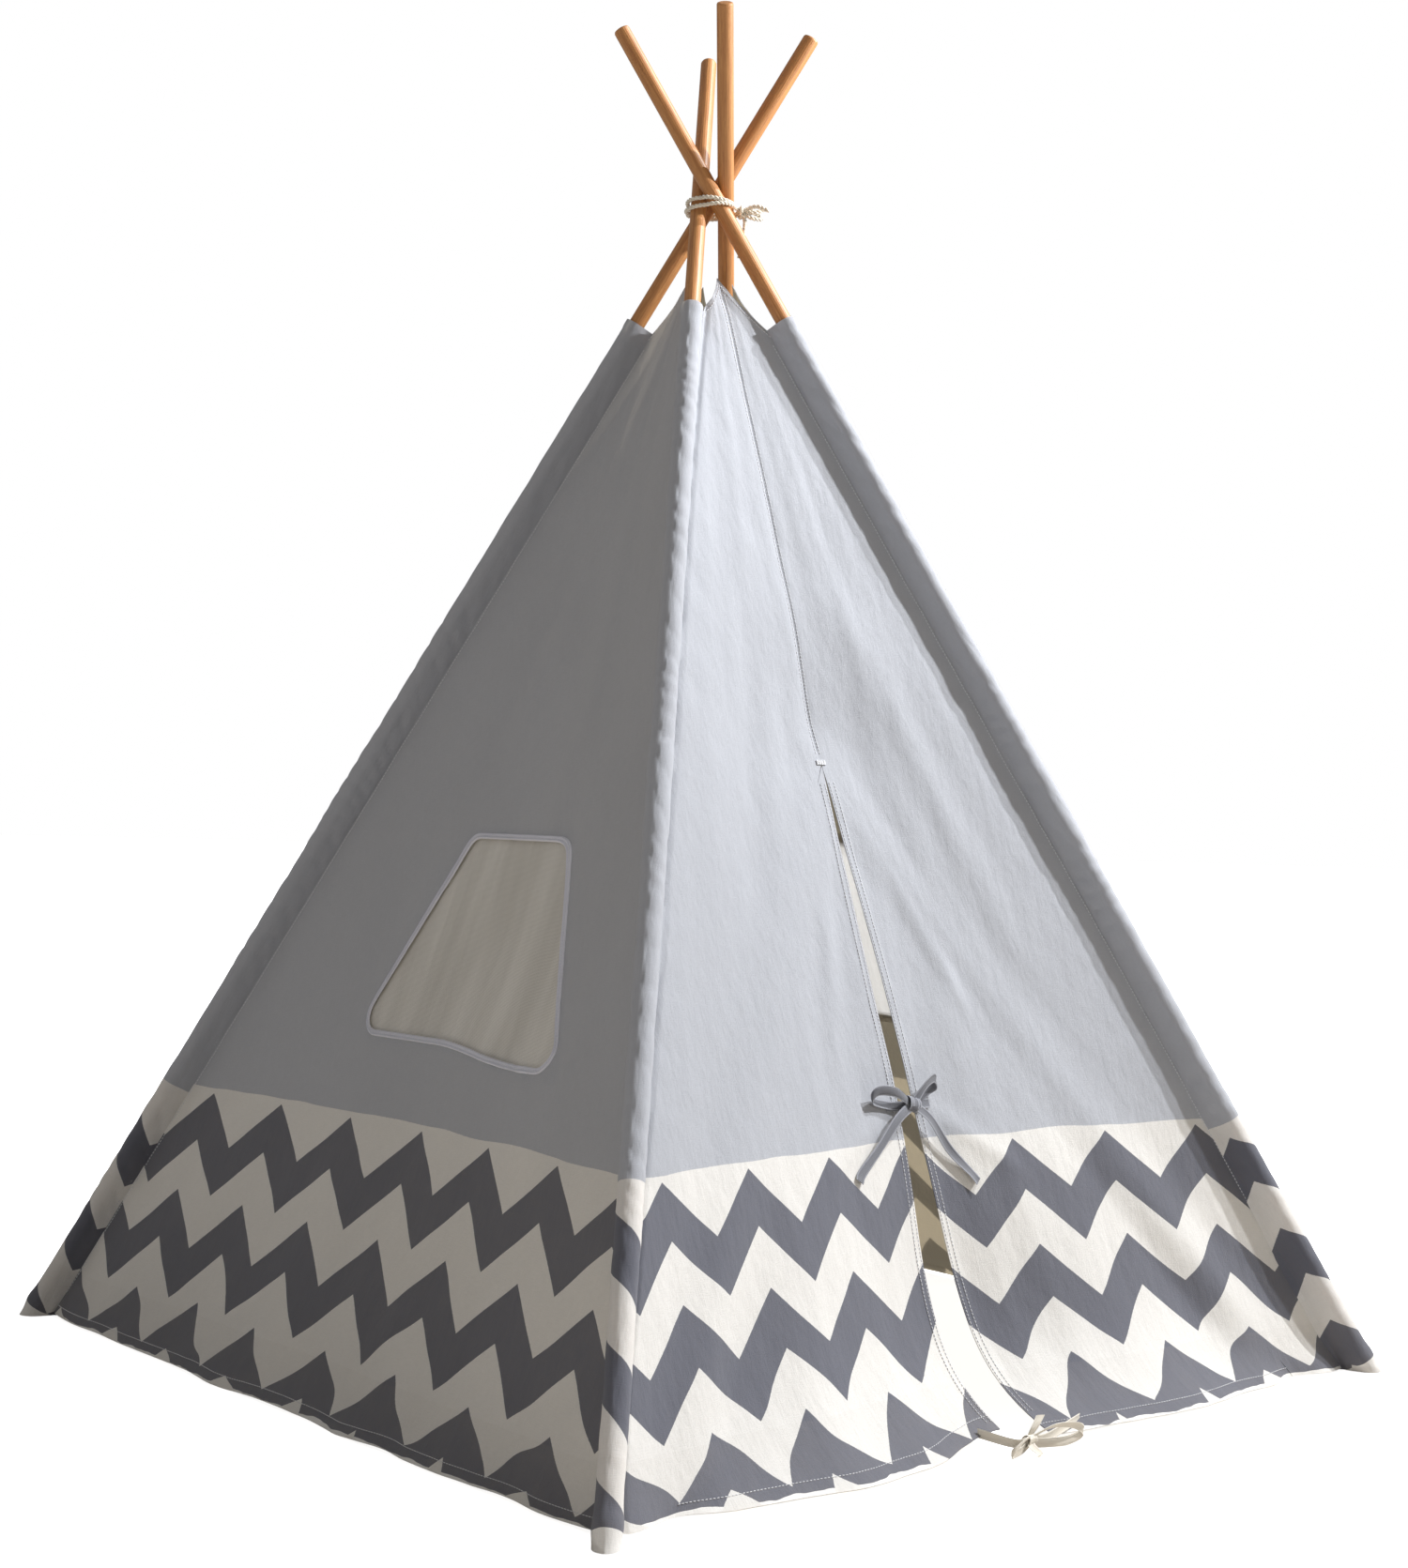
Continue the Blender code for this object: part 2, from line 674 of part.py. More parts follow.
clear_scene()
PARTS = new_collection("play_tent")
CUTTERS = new_collection("cutters")
MATERIALS = {
    "pole_wood": new_material("pole_wood", (0.60, 0.28, 0.08), 0.35),
    "ferrule_metal": new_material("ferrule_metal", (0.62, 0.60, 0.56), 0.35, metallic=1.0),
    "sleeve_canvas": new_material("sleeve_canvas", (0.42, 0.44, 0.48), 0.9),
    "canvas": new_material("canvas", (0.46, 0.48, 0.52), 0.9),
    "window_net": new_material("window_net", (0.72, 0.70, 0.66), 0.8, alpha=0.6),
    "window_binding": new_material("window_binding", (0.52, 0.52, 0.60), 0.85),
    "cord": new_material("cord", (0.85, 0.83, 0.78), 0.9),
    "door_tape": new_material("door_tape", (0.36, 0.38, 0.42), 0.85),
    "threshold_tape": new_material("threshold_tape", (0.83, 0.80, 0.72), 0.85),
}
build()
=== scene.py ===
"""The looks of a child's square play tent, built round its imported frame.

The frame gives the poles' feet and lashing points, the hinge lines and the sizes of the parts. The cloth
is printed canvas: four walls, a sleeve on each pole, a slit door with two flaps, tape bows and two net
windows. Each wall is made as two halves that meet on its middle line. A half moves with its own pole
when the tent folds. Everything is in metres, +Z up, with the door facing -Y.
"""

import json
import math

import bmesh
import bpy
import numpy as np
from mathutils import Matrix, Vector, noise


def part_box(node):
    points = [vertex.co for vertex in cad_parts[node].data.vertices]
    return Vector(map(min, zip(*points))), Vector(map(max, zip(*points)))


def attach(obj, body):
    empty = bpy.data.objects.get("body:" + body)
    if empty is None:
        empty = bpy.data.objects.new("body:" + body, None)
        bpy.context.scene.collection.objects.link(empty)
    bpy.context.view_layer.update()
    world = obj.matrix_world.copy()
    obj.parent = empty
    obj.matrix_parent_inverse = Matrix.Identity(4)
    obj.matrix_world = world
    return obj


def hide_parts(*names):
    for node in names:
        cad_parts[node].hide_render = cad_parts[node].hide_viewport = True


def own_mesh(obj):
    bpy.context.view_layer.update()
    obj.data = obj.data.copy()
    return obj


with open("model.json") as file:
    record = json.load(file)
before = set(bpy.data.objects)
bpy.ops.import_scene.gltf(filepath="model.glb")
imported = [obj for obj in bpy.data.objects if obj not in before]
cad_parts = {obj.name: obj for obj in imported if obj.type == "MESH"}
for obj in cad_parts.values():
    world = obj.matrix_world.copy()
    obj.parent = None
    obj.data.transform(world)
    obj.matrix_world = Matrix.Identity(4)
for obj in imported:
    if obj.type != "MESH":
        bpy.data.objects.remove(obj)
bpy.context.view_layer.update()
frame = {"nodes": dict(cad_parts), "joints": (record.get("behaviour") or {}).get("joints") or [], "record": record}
JOINTS = {joint["name"]: joint for joint in frame["joints"]}
FEET = {mount["name"]: mount["pos_m"] for mount in frame["record"]["mounts"]}

# Sleeves
POLE_RADIUS = 0.010
SEAM_DEPTH = 0.0235  # from the pole's axis inwards to the sewn corner seam
SEAM_ALLOWANCE = 0.009  # the doubled cloth inside the tent, past the corner seam
CAD_SLEEVE_RADIUS = 0.0136
SLEEVE_RADIUS = 0.0126
SLEEVE_THICKNESS = 0.0008
PUCKER = 0.0015
PUCKER_PITCH = 0.034
SLEEVE_ROWS = 330
FLOOR_GAP = 0.0008

# Walls
SEAM_APART = 0.0012
CLOTH_THICKNESS = 0.0010
SAG = 0.038
SAG_POWER = 0.7
GABLE = 0.050
HEM_HEIGHT = 0.0014
HEM_SLACK = 0.016
HEM_FLARE = 0.014
DOOR_HEM_FLARE = 0.024
ROWS = 132
COLUMNS = 60

# Door
SLIT_GAP_AT_FLOOR = 0.060
SKIRT_SAG = 0.030  # the door wall hangs further in just above the floor
SKIRT_SAG_HEIGHT = 0.08
SLIT_SAG = 0.024
SLIT_SAG_HEIGHT = 0.13
SLIT_SAG_REACH = 0.13
FOLD_LINE_CALM = 0.055  # wrinkles fade out this close to a flap's hinge line
FOLD_LINE_PULL = 0.20  # the cloth is drawn onto a hinge line from this far
FOLD_LINE_SLANT = 0.83  # distance square to a slanted hinge line, as a share of the level distance
DOOR_TIE_HEIGHT = 0.325
HEM_FOLD = 0.011  # width of a turned hem

# Windows
WINDOW_TOP = 0.178
WINDOW_BOTTOM = 0.392
WINDOW_HEIGHT = 0.241
WINDOW_CENTRE = 0.494
WINDOW_LEAN = 0.18  # how much wider its half on the door's side is
WINDOW_CORNER = 0.022
WINDOW_DROOP = 0.013
BINDING_WIDTH = 0.0075
NET_LAP = 0.014

# Cord and tapes
DOOR_TAPE = 0.0105
FLOOR_TAPE = 0.0095
TAPE_THICKNESS = 0.0008
NET_THICKNESS = 0.0004
CORD_LAY = 0.010  # length of one turn of the twisted plies
CORD_RADIUS = 0.0025
CORD_TURNS = 2.0
CORD_BELOW_CROSSING = 0.022

# Printed band
BAND_TOP = 0.292
ROW_PITCH = 0.1135
ROW_DARK = 0.487
ZIGZAG = 0.0585
PRINT_BEND = 0.0075
HEM_BEND = 0.020  # the print wanders more where the cloth meets the floor
HEM_BEND_HEIGHT = 0.13
HEM_SWAY = 0.075
COLUMN_PITCH = 0.137
FIRST_ROW_DROP = 0.006  # the first dark row's peaks are this far below the band's top edge
PEAK_OFFSET = {"right": -0.041, "back": 0.052, "left": 0.022}  # from each wall's middle line to a peak
DOOR_PRINTS = {-1: (-0.140, 0.128), 1: (0.140, 0.140)}  # peak offset and column pitch by side of the slit
SLEEVE_PRINT = (0.030, BAND_TOP - 0.016)  # peak offset, and height of the first row's peaks

GREY = (0.445, 0.463, 0.510)
CREAM = (0.89, 0.878, 0.858)
CHARCOAL = (0.125, 0.132, 0.167)
# The canvas inside the tent: the print seen faintly from the back of the cloth, made darker and more olive than
# the outside as painted shade and painted warm light from inside the tent
INSIDE_SHADED_COLORS = ((0.36, 0.335, 0.27), (0.60, 0.54, 0.41), (0.30, 0.27, 0.21))
OUTSIDE_GLOW = (0.97, 0.92, 0.85)
INSIDE_GLOW = (0.96, 0.88, 0.70)
DUST = (0.45, 0.40, 0.33)
SHINE_THROUGH = 0.17  # how much light the canvas lets through, from outside
SHINE_THROUGH_CREAM = 0.13  # and how much more where it is printed cream
SHINE_THROUGH_INSIDE = 0.80
THREAD_PITCH = 0.0011
TAPE_RIB_PITCH = 0.0012
NET_PITCH = 0.0026

# Stage
FLOOR_RADIUS = 30
FLOOR_COLOR = (0.86, 0.86, 0.86)
FLOOR_GLOW = 0.86  # added for the camera only, so that the floor runs into the white background
FLOOR_BOUNCE = (0.62, 0.575, 0.52)  # the floor's colour in the light that it throws back on the tent
SKY_COLOR = (1.0, 0.985, 0.96)
SKY_STRENGTH = 0.335
LIGHT_COLOR = (0.98, 0.99, 1.0)
LIGHT_FROM = Vector((0.60, -0.375, 0.707)).normalized()
LIGHT_AIM = Vector((0.0, -0.25, 0.90))
SUN_STRENGTH = 3.2
LAMP_POWER = 92
LAMP_DISTANCE = 1.25
CAMERA_PLACE = (-1.8866, -2.2132, 0.6528)
CAMERA_FORWARD = Vector((0.6485, 0.7608, 0.0233)).normalized()
CAMERA_RIGHT = Vector((0.7604, -0.6490, 0.0241)).normalized()

END = {-1: "left", 1: "right"}
THREAD_INDEX = 2  # a canvas piece's materials are its outside, its inside and its thread


def unit(vector):
    vector = np.asarray(vector, float)
    return vector / np.linalg.norm(vector)


def units(vectors):
    """Each vector along the last axis, scaled to length one."""
    return vectors / np.linalg.norm(vectors, axis=-1, keepdims=True)


def ease(x):
    x = np.clip(x, 0, 1)
    return x * x * (3 - 2 * x)


def ripple(seed, x, y):
    """Smooth noise, about -1 to 1, for arrays of places."""
    x, y = np.broadcast_arrays(x, y)
    values = [noise.noise(Vector((a, b, seed))) for a, b in zip(x.ravel(), y.ravel())]
    return np.array(values).reshape(x.shape)


def bell(x, width, centre=0.0):
    return np.exp(-(((x - centre) / width) ** 2))


def hump(height, peak):
    """0 at the floor, 1 at the peak height, and dying away above it."""
    return height / peak * np.exp(1 - height / peak)


def freedom(u):
    """0 on a wall's two corner seams and 1 midway between them."""
    return np.sin(np.pi * np.clip(u, 0, 1))


def mirrored(side, u):
    """u for a place counted from the corner seam on this side."""
    return u if side < 0 else 1 - u


def run_of(path):
    """How far along the path each of its places is."""
    return np.concatenate([[0], np.cumsum(np.linalg.norm(np.diff(path, axis=0), axis=1))])


def along_run(targets, run, values):
    """The rows of values at the target distances along a path."""
    return np.stack([np.interp(targets, run, column) for column in values.T], -1)


def resampled(path, count):
    run = run_of(path)
    return along_run(np.linspace(0, run[-1], count), run, path)


class Corner:
    """One pole: its line, its directions, and the body and joint it folds with."""

    def __init__(self, name):
        joint = JOINTS[f"fold_{name}"]
        self.name = name
        self.joint = joint
        self.body = joint["child"]
        self.foot = np.array(FEET[f"foot_{name}"])
        self.lashing = np.array(joint["pos_m"])
        self.up = unit(self.lashing - self.foot)
        outward = unit(self.foot * (1, 1, 0))
        self.inward = unit(self.up * outward.dot(self.up) - outward)
        across = np.cross(self.up, self.inward)
        sideways = np.array((-outward[1], outward[0], 0))
        self.toward = across * np.sign(across.dot(sideways))
        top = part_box(f"{name}_sleeve")[1].z
        self.sleeve_top = (top + CAD_SLEEVE_RADIUS * self.inward[2]) / self.up[2]

    def line(self, height, depth, side):
        """Places at these heights on the line along the pole, depth inwards and SEAM_APART to one side."""
        start = self.foot + self.inward * depth + self.toward * (side * SEAM_APART)
        return start + np.asarray((height - start[2]) / self.up[2])[..., None] * self.up

    def folded(self, place):
        """Where a place that rides on this pole goes when the tent is folded up."""
        angle = math.radians(min(self.joint["range_deg"]))
        turn = Matrix.Rotation(angle, 3, Vector(self.joint["axis"]))
        return self.lashing + np.array(turn) @ (np.asarray(place) - self.lashing)


CORNERS = {name: Corner(name) for name in ("front_left", "front_right", "back_right", "back_left")}
WALL_TOP = CORNERS["front_left"].sleeve_top * CORNERS["front_left"].up[2]


class Wall:
    """A wall's cloth surface. u is 0 on the left corner seam and 1 on the right one, seen from outside."""

    def __init__(self, name, left, right, seed, creases, flare=HEM_FLARE):
        self.name = name
        self.flare = flare
        self.left = CORNERS[left]
        self.right = CORNERS[right]
        self.out = unit(np.cross(self.right.foot - self.left.foot, (0, 0, 1)))
        self.seed = seed
        self.creases = creases

    def seam(self, side, height):
        if side < 0:
            return self.left.line(height, SEAM_DEPTH, 1)
        return self.right.line(height, SEAM_DEPTH, -1)

    def width(self, height):
        return np.linalg.norm(self.seam(1, height) - self.seam(-1, height), axis=-1)

    def flat(self, u, height):
        u = np.asarray(u)[..., None]
        return self.seam(-1, height) * (1 - u) + self.seam(1, height) * u

    def sag(self, u, height):
        drop = np.clip(height / WALL_TOP, 0, 1) ** SAG_POWER
        return -SAG * freedom(u) * np.sin(np.pi * drop)

    def lower_shape(self, u, height):
        """The lower edge stands out a little where it meets the floor."""
        return self.flare * freedom(u) ** 0.4 * np.exp(-height / 0.05)

    def wrinkles(self, u, height):
        """Folds, ripples and puckers: how far the cloth stands out from the sag."""
        width = self.width(height)
        x = (u - 0.5) * width
        free = freedom(u)
        high = np.clip(height / WALL_TOP, 0, 1)
        to_seam = np.minimum(u, 1 - u) * width
        seed = self.seed
        long_folds = 0.0075 * ripple(seed, 6.5 * u, 1.3 * height) * free**0.7 * (1 - 0.85 * high)
        soft = 0.0028 * ripple(seed + 1, 17 * u, 3.1 * height) * free**0.6 * (1 - 0.8 * high)
        small = 0.0013 * ripple(seed + 2, 32 * x, 11 * height) * free
        hem = 0.0090 * ripple(seed + 3, 9 * x, 2.2 * height) * free**0.4 * np.exp(-height / 0.10)
        puckers = 0.0030 * ripple(seed + 4, 16 * to_seam + 34 * height, 9 * height)
        puckers = puckers * np.exp(-to_seam / 0.035) * ease(to_seam / 0.008) * ease(width / 0.5)
        total = long_folds + soft + small + self.lower_shape(u, height) + hem + puckers
        for crease in self.creases:
            total = total + ridge(x, height, *crease) * ease(to_seam / 0.05)
        return total

    def relief(self, u, height):
        return self.sag(u, height) + self.wrinkles(u, height)

    def cloth_x(self, u, height):
        """Metres right of the middle line, for the print."""
        return (u - 0.5) * self.width(height)

    def cloth(self, u, height):
        """The cloth's own coordinates. Slack above the floor takes a little more cloth than height."""
        x = self.cloth_x(u, height)
        return np.stack([x, height - HEM_SLACK * np.exp(-height / 0.035)], -1)

    def point(self, u, height):
        return self.flat(u, height) + self.relief(u, height)[..., None] * self.out

    def normal(self, u, height):
        step = 0.002
        right = self.point(u + step, height) - self.point(u - step, height)
        up = self.point(u, height + step) - self.point(u, height - step)
        return units(np.cross(right, up))

    def hem(self, u):
        """Height of the lower edge: near the floor, a little higher beside the poles."""
        to_seam = np.minimum(u, 1 - u) * self.width(0)
        lift = 0.002 * np.exp(-to_seam / 0.020)
        return HEM_HEIGHT + lift + 0.0022 * (1 + ripple(self.seed + 5, 11 * u, 0.0))

    def top(self, u):
        """Height of the upper edge: a gable between the two sleeves."""
        return WALL_TOP - 0.012 + (GABLE + 0.012) * (1 - np.abs(2 * u - 1))


def ridge(x, height, x0, height0, x1, height1, width, rise):
    """One soft fold between two places on a wall, given as metres from its middle line and height."""
    along = np.array((x1 - x0, height1 - height0))
    length = np.linalg.norm(along)
    step = ((x - x0) * along[0] + (height - height0) * along[1]) / length**2
    aside = ((x - x0) * along[1] - (height - height0) * along[0]) / length
    taper = np.sin(np.pi * np.clip(step, 0, 1)) ** 0.7
    return rise * taper * bell(aside, width)


class DoorWall(Wall):
    """The front wall. Below the slit's top its cloth stays straight along the two flap hinge lines."""

    def __init__(self, *arguments):
        super().__init__(*arguments)
        self.hinges = {-1: JOINTS["open_left_flap"], 1: JOINTS["open_right_flap"]}
        self.slit_top = self.hinges[-1]["pos_m"][2]

    def lower_shape(self, u, height):
        free = freedom(u)
        skirt = SKIRT_SAG * hump(height, SKIRT_SAG_HEIGHT) * free
        return self.flare * free**0.25 * np.exp(-height / 0.03) - skirt

    def hinge_line(self, side, height):
        hinge = self.hinges[side]
        start = np.array(hinge["pos_m"])
        along = np.array(hinge["axis"])
        return start + np.asarray((height - start[2]) / along[2])[..., None] * along

    def hinge_u(self, side, height):
        left = self.seam(-1, height)
        return (self.hinge_line(side, height) - left)[..., 0] / self.width(height)

    def relief(self, u, height):
        u, height = np.broadcast_arrays(np.asarray(u, float), np.asarray(height, float))
        x = (u - 0.5) * self.width(height)
        slit = -SLIT_SAG * hump(height, SLIT_SAG_HEIGHT) * bell(x, SLIT_SAG_REACH)
        wrinkles = self.wrinkles(u, height) + slit
        sag = self.sag(u, height)
        below = np.minimum(height, self.slit_top)
        shares = np.zeros_like(sag)
        pull = np.zeros_like(sag)
        nearest = np.full_like(sag, np.inf)
        for side in (-1, 1):
            hinge_u = self.hinge_u(side, below)
            bare = self.flat(hinge_u, below) + self.sag(hinge_u, below)[..., None] * self.out
            aside = (u - hinge_u) * self.width(below)
            distance = np.hypot(aside * FOLD_LINE_SLANT, height - below) + 1e-4
            pull = pull + ((self.hinge_line(side, below) - bare) @ self.out) / distance
            shares = shares + 1 / distance
            nearest = np.minimum(nearest, distance)
        pull = pull / shares * (1 - ease(nearest / FOLD_LINE_PULL))
        grooves = 0.0022 * np.exp(-np.abs(x) / 0.004) * ease((height - self.slit_top) / 0.02)
        grooves = grooves + 0.0034 * bell(u * self.width(height), 0.0028, 0.0165)
        return sag + pull + wrinkles * ease(nearest / FOLD_LINE_CALM) - grooves

    def cloth_x(self, u, height):
        """Below the slit's top the print is measured along the bulging cloth from the nearer corner seam."""
        u, height = np.broadcast_arrays(np.asarray(u, float), np.asarray(height, float))
        width = self.width(height)
        near = np.minimum(u, 1 - u)
        steps = np.linspace(0, 1, 41)
        across = near[..., None] * steps
        bulge = self.sag(across, height[..., None]) + self.lower_shape(across, height[..., None])
        rise = np.diff(bulge, axis=-1)
        run = np.diff(across * width[..., None], axis=-1)
        extra = (np.hypot(rise, run) - run).sum(-1) * (1 - ease((height - 0.50) / 0.18))
        return (u - 0.5) * width + np.where(u < 0.5, extra, -extra)

    def half_gap(self, height):
        pinch = 1 - 0.28 * bell(height, 0.13, DOOR_TIE_HEIGHT)
        return SLIT_GAP_AT_FLOOR / 2 * np.clip(1 - height / self.slit_top, 0, 1) * pinch

    def slit_u(self, side, height):
        return 0.5 + side * (self.half_gap(height) + 0.0002) / self.width(height)


# Each crease: from x, height to x, height, its half width and how far it stands out, all in metres
DOOR_CREASES = (
    (0.01, 0.74, 0.13, 0.40, 0.012, 0.0040),
    (0.03, 0.70, 0.20, 0.34, 0.020, -0.0050),
    (0.06, 0.92, 0.24, 0.42, 0.026, 0.0050),
    (-0.02, 0.66, -0.10, 0.36, 0.016, 0.0035),
    (-0.05, 0.95, -0.20, 0.40, 0.024, -0.0045),
    (0.02, 0.33, 0.16, 0.24, 0.012, 0.0030),
    (-0.02, 0.33, -0.15, 0.26, 0.012, 0.0030),
    (0.02, 0.35, 0.12, 0.47, 0.011, 0.0028),
)
WINDOW_WALL_CREASES = (
    (0.14, 0.39, 0.20, 0.33, 0.008, 0.0035),
    (-0.10, 0.72, -0.16, 0.36, 0.020, 0.0035),
    (0.09, 0.64, 0.22, 0.30, 0.016, -0.0030),
    (0.02, 1.05, 0.10, 0.66, 0.022, 0.0045),
    (-0.03, 1.00, -0.11, 0.66, 0.022, -0.0040),
)
PLAIN_WALL_CREASES = (
    (0.02, 1.00, 0.15, 0.45, 0.024, 0.0050),
    (-0.03, 0.95, -0.14, 0.38, 0.022, -0.0045),
    (-0.06, 0.70, -0.22, 0.25, 0.020, 0.0040),
)
WALLS = {
    "front": DoorWall("front", "front_left", "front_right", 3.7, DOOR_CREASES, DOOR_HEM_FLARE),
    "right": Wall("right", "front_right", "back_right", 21.3, WINDOW_WALL_CREASES),
    "back": Wall("back", "back_right", "back_left", 47.9, PLAIN_WALL_CREASES),
    "left": Wall("left", "back_left", "front_left", 65.1, WINDOW_WALL_CREASES),
}


# Node materials


class Nodes:
    """Builds the node tree of a new material, or of a world, a call for each node."""

    def __init__(self, owner):
        self.owner = bpy.data.materials.new(owner) if isinstance(owner, str) else owner
        self.owner.use_nodes = True
        self.tree = self.owner.node_tree
        self.tree.nodes.clear()

    def add(self, kind, inputs=None, output=0, **settings):
        node = self.tree.nodes.new(f"ShaderNode{kind}")
        for key, value in settings.items():
            setattr(node, key, value)
        for key, value in (inputs or {}).items():
            socket = node.inputs[key]
            if isinstance(value, bpy.types.NodeSocket):
                self.tree.links.new(value, socket)
            else:
                socket.default_value = (*value, 1) if socket.type == "RGBA" else value
        return node.outputs[output]

    def math(self, operation, *values, clamp=False):
        return self.add("Math", dict(enumerate(values)), operation=operation, use_clamp=clamp)

    def times(self, first, second):
        return self.math("MULTIPLY", first, second)

    def linear(self, value, slope, start):
        return self.math("MULTIPLY_ADD", value, slope, start)

    def wave(self, value, pitch):
        return self.math("SINE", self.times(value, 2 * math.pi / pitch))

    def mix(self, factor, first, second):
        return self.add("Mix", {0: factor, 6: first, 7: second}, 2, data_type="RGBA")

    def noise(self, place, scale, detail=2.0, roughness=0.5):
        """Noise at one scale, or at a scale for each axis."""
        if isinstance(scale, tuple):
            place = self.add("VectorMath", {0: place, 1: scale}, operation="MULTIPLY")
            scale = 1.0
        inputs = {"Vector": place, "Scale": scale, "Detail": detail, "Roughness": roughness}
        return self.add("TexNoise", inputs, "Fac")

    def vary(self, color, factor, amount):
        """Brightens and darkens a colour by up to amount as factor runs from 0 to 1."""
        value = self.linear(factor, 2 * amount, 1 - amount)
        return self.add("HueSaturation", {"Color": color, "Value": value}, "Color")

    def bump(self, height, distance, normal=None):
        inputs = {"Height": height, "Distance": distance, "Strength": 1.0}
        if normal:
            inputs["Normal"] = normal
        return self.add("Bump", inputs, "Normal")

    def object_place(self):
        return self.add("TexCoord", output="Object")

    def surface(self, shader, kind="Material"):
        output = self.tree.nodes.new(f"ShaderNodeOutput{kind}")
        self.tree.links.new(shader, output.inputs["Surface"])
        return self.owner

    def principled(self, inputs):
        """The finished material, where one Principled shader is all of it."""
        return self.surface(self.add("BsdfPrincipled", inputs))


def cloth_axes(nodes):
    """The cloth's own coordinates in metres, across and up, whatever the cloth is doing."""
    place = nodes.add("UVMap", uv_map="cloth")
    x = nodes.add("SeparateXYZ", {0: place})
    return place, x, x.node.outputs["Y"]


def weave(nodes, place, x, y):
    """Over-and-under threads, with slubs that run along them."""
    threads = nodes.times(nodes.wave(x, THREAD_PITCH), nodes.wave(y, THREAD_PITCH))
    slubs = nodes.math("ADD", nodes.noise(place, (1400, 90, 1)), nodes.noise(place, (90, 1400, 1)))
    return nodes.linear(threads, 0.35, slubs), slubs


def chevron(nodes, place, x, y, peak, first_row, pitch):
    """1 where the print is dark, and 1 below the band's top edge."""
    scales = (900.0, 11.0, 9.0)
    rough, bend, sway = (nodes.math("SUBTRACT", nodes.noise(place, scale, 1.0), 0.5) for scale in scales)
    y = nodes.linear(rough, 0.0012, y)
    near_hem = nodes.math("SUBTRACT", 1.0, nodes.math("DIVIDE", y, HEM_BEND_HEIGHT), clamp=True)
    y = nodes.linear(bend, nodes.linear(near_hem, HEM_BEND, PRINT_BEND), y)
    x = nodes.linear(nodes.times(sway, near_hem), HEM_SWAY, x)
    fall = nodes.math("PINGPONG", nodes.math("SUBTRACT", x, peak), pitch / 2)
    fall = nodes.times(fall, ZIGZAG / (pitch / 2))
    depth = nodes.math("SUBTRACT", nodes.math("SUBTRACT", first_row, fall), y)
    row = nodes.math("FRACT", nodes.math("DIVIDE", depth, ROW_PITCH))
    dark = nodes.times(nodes.math("LESS_THAN", row, ROW_DARK), nodes.math("GREATER_THAN", depth, 0.0))
    return dark, nodes.math("LESS_THAN", y, BAND_TOP)


def canvas(name, peak, first_row=BAND_TOP - FIRST_ROW_DROP, pitch=COLUMN_PITCH, inside=False):
    """Matt plain-weave canvas: grey above, and a cream and charcoal zigzag print below."""
    nodes = Nodes(name)
    place, x, y = cloth_axes(nodes)
    threads, slubs = weave(nodes, place, x, y)
    dark, band = chevron(nodes, place, x, y, peak, first_row, pitch)
    # Inside, the print's colours carry painted shade and a painted warm tint of the light inside the tent
    grey, cream, charcoal = INSIDE_SHADED_COLORS if inside else (GREY, CREAM, CHARCOAL)
    color = nodes.mix(band, grey, nodes.mix(dark, cream, charcoal))
    bound_edge = nodes.linear(nodes.noise(place, 22.0), 0.010, -0.0135)
    color = nodes.mix(nodes.math("LESS_THAN", y, bound_edge), color, cream)
    color = nodes.vary(color, nodes.noise(place, (5, 2.5, 1), 3.0), 0.09)
    color = nodes.vary(color, nodes.times(slubs, 0.5), 0.16)
    dust = nodes.times(nodes.noise(place, 30.0, 4.0), nodes.math("LESS_THAN", y, 0.05))
    color = nodes.mix(nodes.times(dust, 0.10), color, DUST)
    normal = nodes.bump(threads, 0.00022)
    normal = nodes.bump(nodes.noise(place, (60, 26, 1), 4.0, 0.55), 0.0016, normal)
    inputs = {
        "Base Color": color,
        "Roughness": nodes.linear(slubs, 0.08, 0.80),
        "Normal": normal,
        "Sheen Weight": 0.18,
        "Sheen Roughness": 0.6,
        "Specular IOR Level": 0.25,
    }
    shader = nodes.add("BsdfPrincipled", inputs)
    glow = nodes.mix(0.7, color, INSIDE_GLOW if inside else OUTSIDE_GLOW)
    through = nodes.add("BsdfTranslucent", {"Color": glow, "Normal": normal})
    pale = nodes.math("SUBTRACT", band, dark)
    share = SHINE_THROUGH_INSIDE if inside else nodes.linear(pale, SHINE_THROUGH_CREAM, SHINE_THROUGH)
    return nodes.surface(nodes.add("MixShader", {0: share, 1: shader, 2: through}))


def thread(name, color):
    """Sewing thread: a fine twist along each stitch."""
    nodes = Nodes(name)
    twist = nodes.noise(nodes.object_place(), 2600.0, 1.0)
    shade = nodes.vary(color, twist, 0.25)
    return nodes.principled({"Base Color": shade, "Roughness": 0.6, "Normal": nodes.bump(twist, 0.0002)})


def tape(name, color, edge):
    """Woven tape: cross ribs and paler, tighter edges."""
    nodes = Nodes(name)
    place, x, y = cloth_axes(nodes)
    ribs = nodes.wave(y, TAPE_RIB_PITCH)
    border = nodes.math("GREATER_THAN", nodes.math("ABSOLUTE", x), 0.74)
    blotch = nodes.noise(place, 55.0, 3.0)
    body = nodes.vary(nodes.mix(border, color, edge), blotch, 0.14)
    inputs = {
        # The ribs also darken and lighten the colour in step with their bump: painted shade in the troughs,
        # painted highlight on the crests
        "Base Color": nodes.vary(body, nodes.linear(ribs, 0.5, 0.5), 0.10),
        "Roughness": nodes.linear(blotch, 0.2, 0.7),
        "Normal": nodes.bump(ribs, 0.00015),
        "Sheen Weight": 0.2,
    }
    return nodes.principled(inputs)


